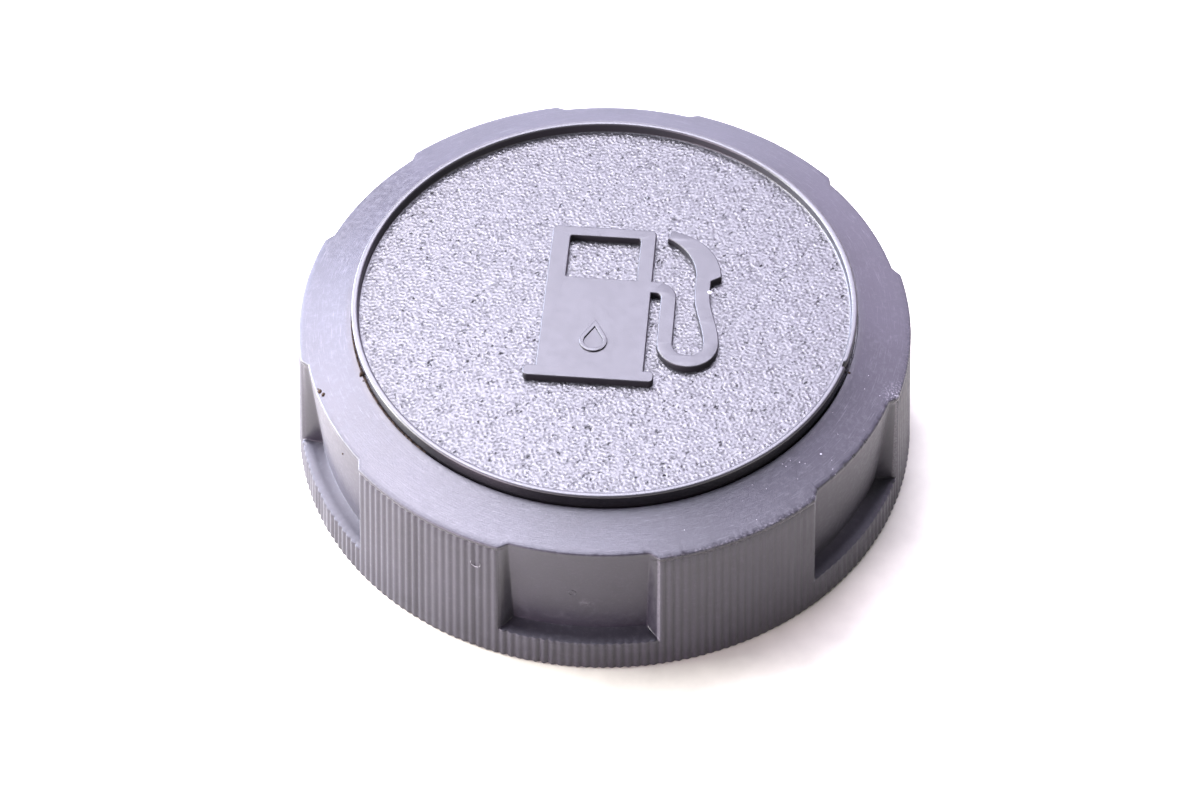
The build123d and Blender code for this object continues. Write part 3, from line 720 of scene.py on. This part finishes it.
class CAP_OT_grip(Operator):
    """Moulded grip: rounded ribs, finger pockets, worn shoulder edge and inner ratchet teeth"""

    bl_idname = "filler_cap.grip"
    bl_label = "Grip"

    def execute(self, context):
        settings = context.scene.filler_cap
        grip = settings.grip
        angle = grip_angles(grip)
        rings = grip_rings(grip, settings.cover, angle)
        points, faces = closed_turn(rings)
        land_top, lip_bottom, _ = shoulder(grip)
        radius = np.hypot(points[:, 0], points[:, 1])
        turn = np.arctan2(points[:, 1], points[:, 0])
        near_edge = near(points[:, 2], land_top, 0.22 * MM) * near(radius, WORN_EDGE_RADIUS, 0.35 * MM)
        patch = 0.6 * hump(turn, *WORN_PATCH) * near(radius, WORN_PATCH_RADIUS, 0.8 * MM)
        patch *= points[:, 2] > land_top - 0.6 * MM
        share = pocket_share(grip, turn)
        worn_side = hump(turn, *WORN_SIDE)
        above_ledge = (points[:, 2] > grip.ledge_height - 0.2 * MM) * (radius > OUTSIDE_RADIUS)
        side_wall = (share > 0.004) * (share < 0.2) * above_ledge * (points[:, 2] < land_top)
        rubbed = side_wall * (0.15 + worn_side)
        wear = near_edge * (0.04 + 0.34 * worn_side) + patch
        recess = settings.cover.radius + RECESS_GAP
        dirt = near(radius, recess, 0.22 * MM) * hump(turn, *DIRTY_SEAM)
        dirt *= (points[:, 2] > grip.shoulder_top - 1.0 * MM) * 0.8
        # Painted shade mask: the pockets' side walls lightly, the recess wall beside the cover fully and a
        # thin band under the shoulder's edge
        shade = 0.25 * (share > 0.2) * (share < 0.97) * above_ledge * (points[:, 2] < lip_bottom)
        shade = np.maximum(shade, (radius < recess + 0.02 * MM) * (points[:, 2] > cover_low.z))
        under_edge = near(points[:, 2] - lip_bottom, 0.3 * MM, 0.12 * MM)
        shade = np.maximum(shade, 0.8 * under_edge * (radius > OUTSIDE_RADIUS))
        marks = {"wear": wear, "dirt": dirt, "shade": shade, "rubbed": rubbed}
        material = grip_finish(settings.finishes, land_top)
        add_piece("grip", points, faces, material, "grip", "grip_plastic", "grip_shell", marks, sharp=42)
        return {"FINISHED"}


# Cover

PEBBLE_WAVES = 36
BEAD_TURNS = (0, 25, 50, 70, 90)

# Angle and spread in degrees, and depth
BEAD_NICK = (344.3, 0.55)
BEAD_NICK_DEPTH = 0.35 * MM


def pebbles(x, y, pitch, rng):
    """Waves in all directions, about 0 with a spread of 1: rounded pebbles a pitch apart."""
    total = np.zeros(len(x))
    for _ in range(PEBBLE_WAVES):
        bearing, phase = rng.uniform(0, FULL_TURN, 2)
        wave = FULL_TURN / (pitch * rng.uniform(0.75, 1.3))
        total += np.cos(wave * (x * math.cos(bearing) + y * math.sin(bearing)) + phase)
    return total / math.sqrt(PEBBLE_WAVES / 2)


def grained_disc(cover, field):
    """Rings of points over the field, shaken and raised into an uneven moulded grain."""
    rng = np.random.default_rng(11)
    inner = cover.radius - cover.bead_width - 0.12 * MM
    count = int(inner / cover.grain_spacing)
    gap = inner / count
    points, faces, starts = [np.array([[0, 0, field]])], [], [0]
    for ring in range(1, count + 1):
        number = 6 * ring
        starts.append(starts[-1] + (1 if ring == 1 else 6 * (ring - 1)))
        angle = (np.arange(number) + (0.5 if ring % 2 else 0)) * FULL_TURN / number
        loose = ring < count
        angle = angle + loose * rng.uniform(-0.33, 0.33, number) * FULL_TURN / number
        radius = ring * gap + loose * rng.uniform(-0.33, 0.33, number) * gap
        points.append(polar(radius, angle, field))
    for ring in range(1, count + 1):
        faces += ring_faces(points[ring - 1], starts[ring - 1], points[ring], starts[ring])
    points = np.concatenate(points)
    hills = pebbles(points[:, 0], points[:, 1], cover.grain_pitch, rng)
    hills = np.where(hills > 0, 0.6 * hills, hills) + rng.normal(0, 0.15, len(points))
    hills[starts[-1]:] = 0
    hills = np.clip(hills, -1.8, 1.5)
    points[:, 2] += cover.grain_height * hills
    return points, faces, starts[-1], hills


def ring_faces(inner, inner_start, outer, outer_start):
    """Triangles between two rings with different numbers of points."""
    if len(inner) == 1:
        return [(inner_start, outer_start + i, outer_start + (i + 1) % len(outer)) for i in range(len(outer))]
    turn_in = np.unwrap(np.arctan2(inner[:, 1], inner[:, 0]))
    turn_out = np.unwrap(np.arctan2(outer[:, 1], outer[:, 0]))
    turn_out += FULL_TURN * round((turn_in[0] - turn_out[0]) / FULL_TURN)
    faces, i, o = [], 0, 0
    while i < len(inner) or o < len(outer):
        next_in = turn_in[(i + 1) % len(inner)] + FULL_TURN * ((i + 1) // len(inner))
        next_out = turn_out[(o + 1) % len(outer)] + FULL_TURN * ((o + 1) // len(outer))
        here_in, here_out = inner_start + i % len(inner), outer_start + o % len(outer)
        if i >= len(inner) or (o < len(outer) and next_out < next_in):
            faces.append((here_in, here_out, outer_start + (o + 1) % len(outer)))
            o += 1
        else:
            faces.append((here_in, here_out, inner_start + (i + 1) % len(inner)))
            i += 1
    return faces


class CAP_OT_cover(Operator):
    """Inlaid cover: smooth bead round a pebble-grained field"""

    bl_idname = "filler_cap.cover"
    bl_label = "Cover"

    def execute(self, context):
        settings = context.scene.filler_cap
        cover = settings.cover
        field = cover_high.z - cover.bead_height
        points, faces, first, hills = grained_disc(cover, field)
        columns = len(points) - first
        angle = np.arctan2(points[first:, 1], points[first:, 0])
        inner, top, edge = cover.radius - cover.bead_width, cover_high.z, cover.bead_round
        bottom = cover_low.z + WELD_RIB_DEPTH
        nick = BEAD_NICK_DEPTH * hump(angle, *BEAD_NICK)
        rows = [(inner - 0.03 * MM, field + 0.04 * MM), (inner, field + 0.15 * MM)]
        rows += [(inner + inwards, top - down) for inwards, down in rounded(edge, BEAD_TURNS)]
        for inwards, down in rounded(edge, BEAD_TURNS[::-1]):
            rows.append((cover.radius - inwards - nick, top - down - nick))
        rows += [(cover.radius, top - 0.9 * MM), (cover.radius, bottom), *step_down(*WELD_RIB, bottom)]
        rings = [polar(radius, angle, height) for radius, height in rows]
        here = np.arange(columns)
        after = np.roll(here, -1)
        low = first
        for index in range(len(rings)):
            high = len(points) + index * columns
            faces += band(low, high, columns)
            low = high
        points = np.concatenate([points, *rings, [[0, 0, bottom]]])
        faces += [(len(points) - 1, low + after[i], low + here[i]) for i in here]
        grain = np.zeros(len(points))
        grain[:len(hills)] = hills
        radius = np.hypot(points[:, 0], points[:, 1])
        # Painted shade mask: the bead's outer wall, in the gap to the shoulder
        shade = (radius > cover.radius - 0.02 * MM) & (points[:, 2] < top - 0.5 * edge)
        material = cover_finish(settings.finishes, "Grained cover plastic", True)
        marks = {"grain": grain, "shade": shade * 1.0}
        add_piece("cover", points, faces, material, "grip", "cover_plastic", "cover_disc", marks, sharp=60)
        return {"FINISHED"}


# Pump symbol, in millimetres on the cover

RELIEF_TURNS = (22, 45, 68, 90)
HOSE_HALF = 0.95
# Left, right, low and high side; the foot ends at the pump's low side
PUMP = (-7.4, 5.6, -11.1, 12.1)
WINDOW = (-5.1, 3.7, 3.5, 10.5)
FOOT = (-8.9, 6.85, -12.8)
HOSE_EXIT = 2.55
HOSE_DROP = 7.8
HOSE_BEND = 1.6
LOOP_CENTRE = (10.6, -6.3)
RISE_TOP = (11.9, 2.0)
HOOK_LOW = 4.1
HOOK_TIP = (14.1, 4.9)
NOZZLE_TIP = (7.4, 12.2)
NOZZLE_UNDER = (7.075, 10.9)
NOZZLE_BACK = (12.2, 9.7)
NOZZLE_BELLY = (9.9, 8.3)
NOZZLE_STEPS = 22
RISE_STEPS = 20
FOOT_ROUND = 0.6
PUMP_ROUND = 0.7
DROP_PLACE = (-0.8, -6.9)
DROP_RADIUS = 1.7
DROP_POINT = 3.4
DROP_LINE = 0.55


def arc(centre, radius, start, end, steps):
    """Points on an arc between two angles in degrees."""
    turn = np.radians(np.linspace(start, end, steps + 1))
    return np.stack([centre[0] + radius * np.cos(turn), centre[1] + radius * np.sin(turn)], 1)


def arc_through(start, middle, end):
    """Points on the arc through three points."""
    a, b, c = (complex(*point) for point in (start, middle, end))
    w = (c - a) / (b - a)
    centre = (b - a) * (w - abs(w) ** 2) / (2j * w.imag) + a
    first, last = np.angle(a - centre), np.angle(c - centre)
    through = (np.angle(b - centre) - first) % FULL_TURN
    sweep = (last - first) % FULL_TURN
    if through > sweep:
        sweep -= FULL_TURN
    first, last = math.degrees(first), math.degrees(first + sweep)
    return arc((centre.real, centre.imag), abs(a - centre), first, last, NOZZLE_STEPS)


def round_corner(x, y, radius, start):
    """A round outer corner, anticlockwise over the quarter turn from an angle in degrees."""
    across = radius if start in (90, 180) else -radius
    up = radius if start in (180, 270) else -radius
    return arc((x + across, y + up), radius, start, start + 90, 6)


def box_loop(sides, radius):
    """A rectangle with round corners, anticlockwise."""
    left, right, low, high = sides
    places = ((right, high, 0), (left, high, 90), (left, low, 180), (right, low, 270))
    return np.concatenate([round_corner(x, y, radius, start) for x, y, start in places])


def rise_side(offset):
    """One side of the hose's right run, from the loop up to the nozzle."""
    low = np.array([2 * LOOP_CENTRE[0] - HOSE_DROP, LOOP_CENTRE[1]])
    high = np.array(RISE_TOP)
    lift = np.array([0, np.linalg.norm(high - low) / 3])
    share = np.linspace(0, 1, RISE_STEPS + 1)[:, None]
    back = 1 - share
    middle = 3 * back ** 2 * share * (low + lift) + 3 * back * share ** 2 * (high - lift)
    line = back ** 3 * low + middle + share ** 3 * high
    along = np.gradient(line, axis=0)
    along /= np.linalg.norm(along, axis=1)[:, None]
    return line + offset * np.stack([along[:, 1], -along[:, 0]], 1)


def pump_loops():
    """Outline of the pump with its foot, hose and nozzle, and the window in it."""
    left, right, foot_line, top = PUMP
    foot_left, foot_right, foot_low = FOOT
    loop_radius = LOOP_CENTRE[0] - HOSE_DROP
    bend = (HOSE_DROP - HOSE_BEND, HOSE_EXIT - HOSE_BEND)
    stretches = [
        round_corner(foot_left, foot_low, FOOT_ROUND, 180),
        round_corner(foot_right, foot_low, FOOT_ROUND, 270),
        round_corner(foot_right, foot_line, FOOT_ROUND, 0),
        [(right, foot_line), (right, HOSE_EXIT - HOSE_HALF)],
        arc(bend, HOSE_BEND - HOSE_HALF, 90, 0, 8),
        arc(LOOP_CENTRE, loop_radius + HOSE_HALF, 180, 360, 36),
        rise_side(HOSE_HALF)[1:],
        [(RISE_TOP[0] + HOSE_HALF, HOOK_LOW)],
        arc_through(HOOK_TIP, NOZZLE_BACK, NOZZLE_TIP),
        arc_through(NOZZLE_UNDER, NOZZLE_BELLY, (RISE_TOP[0] - HOSE_HALF, HOOK_LOW)),
        rise_side(-HOSE_HALF)[::-1],
        arc(LOOP_CENTRE, loop_radius - HOSE_HALF, 360, 180, 28)[1:],
        arc(bend, HOSE_BEND + HOSE_HALF, 0, 90, 14),
        [(right, HOSE_EXIT + HOSE_HALF)],
        round_corner(right, top, PUMP_ROUND, 0),
        round_corner(left, top, PUMP_ROUND, 90),
        [(left, foot_line)],
        round_corner(foot_left, foot_line, FOOT_ROUND, 90)[:-1],
    ]
    return [np.concatenate([np.asarray(part, float) for part in stretches]), box_loop(WINDOW, 0.3)[::-1]]


def drop_loops():
    """The drop's line: a round belly that runs up to a point, inside and outside."""
    loops = []
    for inwards in (0, DROP_LINE):
        radius = DROP_RADIUS - inwards
        point = DROP_POINT - inwards * DROP_POINT / DROP_RADIUS
        half = math.degrees(math.acos(radius / point))
        belly = arc((0, 0), radius, 90 + half, 450 - half, 40)
        loops.append(np.concatenate([belly, [(0, point)]]) + DROP_PLACE)
    return [loops[0], loops[1][::-1]]


def inset(loop, distance):
    """A closed outline moved to its left by a distance."""
    ahead = np.roll(loop, -1, 0) - loop
    ahead /= np.linalg.norm(ahead, axis=1)[:, None]
    normal = np.stack([-ahead[:, 1], ahead[:, 0]], 1)
    before = np.roll(normal, 1, 0)
    share = 1 + (normal * before).sum(1)
    return loop + distance * (normal + before) / np.clip(share, 0.5, None)[:, None]


def relief(loops, low, high, edge):
    """A raised shape with upright sides and rounded top edges, in metres."""
    steps = [(0.0, low), (0.0, high - edge)]
    steps += [(inwards, high - down) for inwards, down in rounded(edge, RELIEF_TURNS)]
    points, faces, tops, start = [], [], [], 0
    for loop in loops:
        loop = np.asarray(loop) * MM
        loop = loop[np.linalg.norm(loop - np.roll(loop, 1, 0), axis=1) > 0.002 * MM]
        count = len(loop)
        for index, (inwards, height) in enumerate(steps):
            outline = inset(loop, inwards)
            points.append(np.column_stack([outline, np.full(count, height)]))
            if index:
                faces += band(start + (index - 1) * count, start + index * count, count)
        tops.append((start, start + (len(steps) - 1) * count, count))
        start += len(steps) * count
    points = np.concatenate(points)
    for which in (0, 1):
        rings = [[Vector(points[top[which] + i]) for i in range(top[2])] for top in tops]
        numbers = np.concatenate([np.arange(top[which], top[which] + top[2]) for top in tops])
        faces += [tuple(numbers[list(face)]) for face in tessellate_polygon(rings)]
    return points, faces


class CAP_OT_symbol(Operator):
    """Raised fuel pump symbol with its hose, nozzle and drop"""

    bl_idname = "filler_cap.symbol"
    bl_label = "Pump symbol"

    def execute(self, context):
        settings = context.scene.filler_cap
        cover = settings.cover
        field = cover_high.z - cover.bead_height
        top = field + cover.symbol_height
        material = cover_finish(settings.finishes, "Smooth cover plastic", False)
        parts = {
            "pump_symbol": relief(pump_loops(), field - 0.2 * MM, top, cover.symbol_round),
            "fuel_drop": relief(drop_loops(), top - 0.1 * MM, top + cover.drop_height, 0.09 * MM),
        }
        for name, (points, faces) in parts.items():
            add_piece(name, points, faces, material, "grip", "cover_plastic", "cover_disc")
        return {"FINISHED"}


# Springs

CLOSED_TURNS = 0.8
STEPS_A_TURN = 36
COIL_SIDES = 14


def spring_path(radius, wire, low, high, turns):
    """Centreline of a compression spring whose end coils lie flat."""
    total = turns + 2 * CLOSED_TURNS
    turn = np.linspace(0, total, int(total * STEPS_A_TURN) + 1)
    free = soft_ramp((turn - CLOSED_TURNS) / turns, 0.06)
    start, end = low + wire / 2, high - wire / 2
    flat = 0.02 * wire * (np.clip(turn, 0, CLOSED_TURNS) - np.clip(total - turn, 0, CLOSED_TURNS))
    return polar(radius, turn * FULL_TURN, start + (end - start) * free + flat)


class CAP_OT_springs(Operator):
    """Pressure spring and vacuum spring, with flat closed end coils"""

    bl_idname = "filler_cap.springs"
    bl_label = "Valve springs"

    def execute(self, context):
        settings = context.scene.filler_cap
        springs = settings.springs
        material = metal_finish("Spring steel", settings.finishes.steel, 0.26, False)
        rows = (
            ("pressure_coil", "pressure_spring", pressure_low, pressure_high, springs.pressure_wire,
             springs.pressure_turns, "closure", "pressure_lift", pressure_high.z),
            ("vacuum_coil", "vacuum_spring", vacuum_low, vacuum_high, springs.vacuum_wire,
             springs.vacuum_turns, "pressure_valve", "vacuum_drop", vacuum_low.z),
        )
        for name, node, low, high, wire, turns, body, joint, anchor in rows:
            radius = high.x - wire / 2
            path = spring_path(radius, wire, low.z, high.z, turns)
            points, faces = tube(path, wire / 2, COIL_SIDES)
            points[:, 2] = np.clip(points[:, 2], low.z, high.z)
            piece = add_piece(name, points, faces, material, body, "spring_steel", node, sharp=50)
            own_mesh(piece)
        return {"FINISHED"}


class CAP_OT_inner_finishes(Operator):
    """Finishes of the closure, seals, valve, washer and filter"""

    bl_idname = "filler_cap.inner_finishes"
    bl_label = "Inner finishes"

    def execute(self, context):
        finishes = context.scene.filler_cap.finishes
        made = {
            "closure": plain_plastic("Closure plastic", finishes.closure, 0.42),
            "natural": plain_plastic("Natural plastic", finishes.natural, 0.38, soft=0.15),
            "rubber": rubber_finish(finishes.rubber),
            "steel": metal_finish("Strip steel", finishes.steel, 0.3, False),
            "screw": metal_finish("Zinc plate", finishes.screw, 0.34, False),
            "brass": metal_finish("Turned brass", finishes.brass, 0.28, True),
            "foam": foam_finish(finishes.foam),
        }
        for kind, nodes in FINISHED_NODES.items():
            for node in nodes:
                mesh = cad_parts[node].data
                mesh.materials.clear()
                mesh.materials.append(made[kind])
        return {"FINISHED"}


# Small marks that the cap has picked up

# In millimetres: radius, angle in degrees, height or None on the shoulder, size and thickness
DIRT_SPECKS = (
    (31.25, 204.9, None, 0.55, 0.40),
    (36.45, 204.4, None, 0.58, 0.34),
    (36.25, 205.5, None, 0.50, 0.30),
    (36.60, 203.7, None, 0.20, 0.12),
    (31.30, 206.8, None, 0.22, 0.16),
    (31.30, 345.2, None, 0.34, 0.20),
    (36.78, 216.3, 16.3, 0.26, 0.26),
)
BRIGHT_SPECK = (34.0, 323.4, None, 0.26, 0.12)
BRIGHT_COUNT = 20
BLISTER = (12.85, 2.2)

# First and last angle in degrees
SEAM_DIRT = (183, 232)

# Angle in degrees, height and half its width
RIB_NICK = (251.4, 15.3, 0.62)
MOULD_MARK = (268.8, 11.6, 0.45)


class CAP_OT_marks(Operator):
    """Dirt and light specks, the mould's mark in the front pocket, a blister and a nick in the ribs"""

    bl_idname = "filler_cap.marks"
    bl_label = "Dirt, specks and nicks"

    def execute(self, context):
        settings = context.scene.filler_cap
        grip, cover = settings.grip, settings.cover
        dirt = dirt_finish(settings.finishes.dirt)
        chalk = plain_plastic("Burr", settings.finishes.scuff, 0.5)
        land_top, _, land_radius = shoulder(grip)
        slope = grip.shoulder_drop / (land_radius - cover.radius)
        rng = np.random.default_rng(3)

        def speck(radius, degrees, height, size, thickness):
            """An uneven lump; on the shoulder where no height is given."""
            points, faces = lump(size * MM, thickness / size, rng)
            if height is None:
                height = (land_top + (land_radius - radius * MM) * slope) / MM
            return points + polar(radius * MM, math.radians(degrees), height * MM), faces

        for index, row in enumerate(DIRT_SPECKS):
            add_piece(f"dirt_speck_{index}", *speck(*row), dirt, "grip", "grip_plastic")
        rows = [BRIGHT_SPECK]
        for _ in range(BRIGHT_COUNT):
            size = rng.uniform(0.06, 0.12)
            rows.append((rng.uniform(31.8, 37.2), rng.normal(322, 14), None, size, 0.6 * size))
        add_piece("light_specks", *joined([speck(*row) for row in rows]), chalk, "grip", "grip_plastic")

        turn = np.radians(np.linspace(*SEAM_DIRT, 180))
        width = 0.05 * MM * (1 + 0.5 * ripple(turn, 8, range(60, 300, 23)))
        path = polar(cover.radius + 0.06 * MM, turn, grip.shoulder_top - 0.06 * MM)
        line = tube(path, np.clip(width, 0.02 * MM, 0.11 * MM), 8)
        add_piece("seam_dirt", *line, dirt, "grip", "grip_plastic")

        degrees, height, reach = RIB_NICK
        curl = np.radians(np.linspace(150, 395, 22))
        wall = grip.rim_radius - height * MM * math.tan(grip.draft)
        across = math.radians(degrees) + reach * MM * np.cos(curl) / wall
        path = polar(wall - 0.02 * MM, across, height * MM + 0.55 * MM * np.sin(curl))
        path += rng.normal(0, 0.012 * MM, path.shape)
        line = tube(path, 0.05 * MM * np.sin(np.linspace(0.35, 2.8, len(path))), 6)
        add_piece("rib_nick", *line, chalk, "grip", "grip_plastic")

        degrees, height, reach = MOULD_MARK
        curl = np.radians(np.linspace(-60, 290, 48))
        across = math.radians(degrees) + reach * MM * np.cos(curl) / pocket_floor(grip, height * MM)
        height = height * MM + reach * MM * np.sin(curl)
        path = polar(pocket_floor(grip, height), across, height)
        plastic = plain_plastic("Mould mark", settings.finishes.grip, 0.42)
        add_piece("mould_mark", *tube(path, 0.05 * MM, 8), plastic, "grip", "grip_plastic")

        points, faces = lump(0.55 * MM, 0.5, rng)
        top = cover_high.z - cover.bead_height + cover.symbol_height
        points += (BLISTER[0] * MM, BLISTER[1] * MM, top - 0.04 * MM)
        add_piece("hose_blister", points, faces, chalk, "grip", "cover_plastic")
        return {"FINISHED"}


# Camera, light and table

FOCAL_PIXELS = 2750.0
PHOTO_WIDTH = 1200
CAMERA_PITCH = 49.976
CAMERA_TURN = 4.93
CAMERA_ROLL = -0.145
CAMERA_DISTANCE = 336.88 * MM
CAMERA_ASIDE = -0.558 * MM
CAMERA_DOWN = -12.25 * MM


# Name of the setting, bearing and height angle from the cap in degrees, and tint
PANELS = (
    ("high_left", 135, 56, (0.97, 0.91, 1.0)),
    ("overhead", 135, 76, (0.79, 0.80, 1.0)),
    ("high_back", 95, 56, (0.82, 0.79, 1.0)),
    ("low_back", 95, 14, (0.76, 0.76, 1.0)),
    ("right_back", 60, 34, (0.81, 0.68, 1.0)),
    ("low_left", 150, 14, (0.68, 0.74, 1.0)),
    ("left", 180, 14, (0.99, 1.0, 0.97)),
    ("front_left", 225, 14, (1.0, 0.80, 1.0)),
    ("front_right", 330, 14, (1.0, 0.95, 0.9)),
)
PANEL_SIZE = 0.36
PANEL_DISTANCE = 0.62
TABLE_REACH = 3.0
TABLE_DROP = -0.02 * MM


def panel_light(name, azimuth, height, brightness, tint):
    """A soft square panel, placed by its bearing from the cap and its height angle in degrees."""
    data = bpy.data.lights.new(name, "AREA")
    data.shape = "SQUARE"
    data.size = PANEL_SIZE
    data.energy = math.pi * PANEL_SIZE ** 2 * brightness
    data.color = tint
    light = bpy.data.objects.new(name, data)
    bpy.context.scene.collection.objects.link(light)
    bearing, lift = math.radians(azimuth), math.radians(height)
    light.location = PANEL_DISTANCE * Vector(
        (math.cos(bearing) * math.cos(lift), math.sin(bearing) * math.cos(lift), math.sin(lift))
    )
    light.rotation_mode = "QUATERNION"
    light.rotation_quaternion = (-light.location).to_track_quat("-Z", "Y")
    light.visible_camera = False


class CAP_OT_stage(Operator):
    """Camera, pale table and soft light"""

    bl_idname = "filler_cap.stage"
    bl_label = "Stage"

    def execute(self, context):
        scene = context.scene
        stage = scene.filler_cap.stage
        pitch, turn, roll = (math.radians(value) for value in (CAMERA_PITCH, CAMERA_TURN, CAMERA_ROLL))
        back = Vector((math.sin(turn) * math.cos(pitch), -math.cos(turn) * math.cos(pitch), math.sin(pitch)))
        aside = Vector((math.cos(turn), math.sin(turn), 0))
        upright = back.cross(aside)
        right = aside * math.cos(roll) + upright * math.sin(roll)
        up = upright * math.cos(roll) - aside * math.sin(roll)
        data = bpy.data.cameras.new("Camera")
        data.sensor_width = 36.0
        data.lens = FOCAL_PIXELS / PHOTO_WIDTH * data.sensor_width
        data.clip_start, data.clip_end = 0.01, 20
        camera = bpy.data.objects.new("Camera", data)
        scene.collection.objects.link(camera)
        place = Vector((0, 0, cover_high.z)) + back * CAMERA_DISTANCE
        place = place + right * CAMERA_ASIDE + up * CAMERA_DOWN
        turned = Matrix((right, up, back)).transposed().to_4x4()
        camera.matrix_world = Matrix.Translation(place) @ turned
        scene.camera = camera

        table = plain_plastic("Matte table", stage.table, 0.85)
        mesh = bpy.data.meshes.new("table")
        corners = ((-1, -1), (1, -1), (1, 1), (-1, 1))
        corners = [(TABLE_REACH * x, TABLE_REACH * y, TABLE_DROP) for x, y in corners]
        mesh.from_pydata(corners, [], [(0, 1, 2, 3)])
        mesh.materials.append(table)
        top = bpy.data.objects.new("table", mesh)
        scene.collection.objects.link(top)

        world = bpy.data.worlds.new("Room")
        scene.world = world
        world.use_nodes = True
        shade = world.node_tree.nodes["Background"]
        shade.inputs["Color"].default_value = (1.0, 1.0, 1.0, 1)
        shade.inputs["Strength"].default_value = stage.room
        for name, azimuth, height, tint in PANELS:
            panel_light(name, azimuth, height, getattr(stage, name), tint)
        scene.view_settings.view_transform = "Standard"
        return {"FINISHED"}


STEPS = (CAP_OT_grip, CAP_OT_cover, CAP_OT_symbol, CAP_OT_springs, CAP_OT_inner_finishes,
         CAP_OT_marks, CAP_OT_stage)


class CapSettings(PropertyGroup):
    """All of the cap's settings."""

    grip: PointerProperty(type=GripSettings, name="Grip", description="Sizes of the grip")
    cover: PointerProperty(type=CoverSettings, name="Cover", description="Sizes of the cover")
    springs: PointerProperty(type=SpringSettings, name="Springs", description="Sizes of the springs")
    finishes: PointerProperty(type=FinishSettings, name="Finishes", description="Base colours")
    stage: PointerProperty(type=StageSettings, name="Stage", description="Light and table")


class CAP_PT_sidebar(Panel):
    """Lists the cap's pieces and settings"""

    bl_idname = "CAP_PT_sidebar"
    bl_label = "Filler Cap"
    bl_space_type = "VIEW_3D"
    bl_region_type = "UI"
    bl_category = "Filler Cap"

    def draw(self, context):
        settings = context.scene.filler_cap
        for step in STEPS:
            self.layout.operator(step.bl_idname)
        for group in (settings.grip, settings.cover, settings.springs, settings.finishes, settings.stage):
            box = self.layout.box()
            for key in group.bl_rna.properties.keys():
                if key not in ("rna_type", "name"):
                    box.prop(group, key)


CLASSES = (GripSettings, CoverSettings, SpringSettings, FinishSettings, StageSettings, CapSettings, *STEPS,
           CAP_PT_sidebar)


def register():
    """Registers the classes and the scene's settings."""
    for kind in CLASSES:
        bpy.utils.register_class(kind)
    bpy.types.Scene.filler_cap = PointerProperty(type=CapSettings)


def unregister():
    """Takes the classes and settings away again."""
    del bpy.types.Scene.filler_cap
    for kind in reversed(CLASSES):
        bpy.utils.unregister_class(kind)


def main():
    """Builds every piece and the stage."""
    register()
    for step in STEPS:
        getattr(bpy.ops.filler_cap, step.bl_idname.split(".")[1])()


if __name__ == "__main__":
    main()
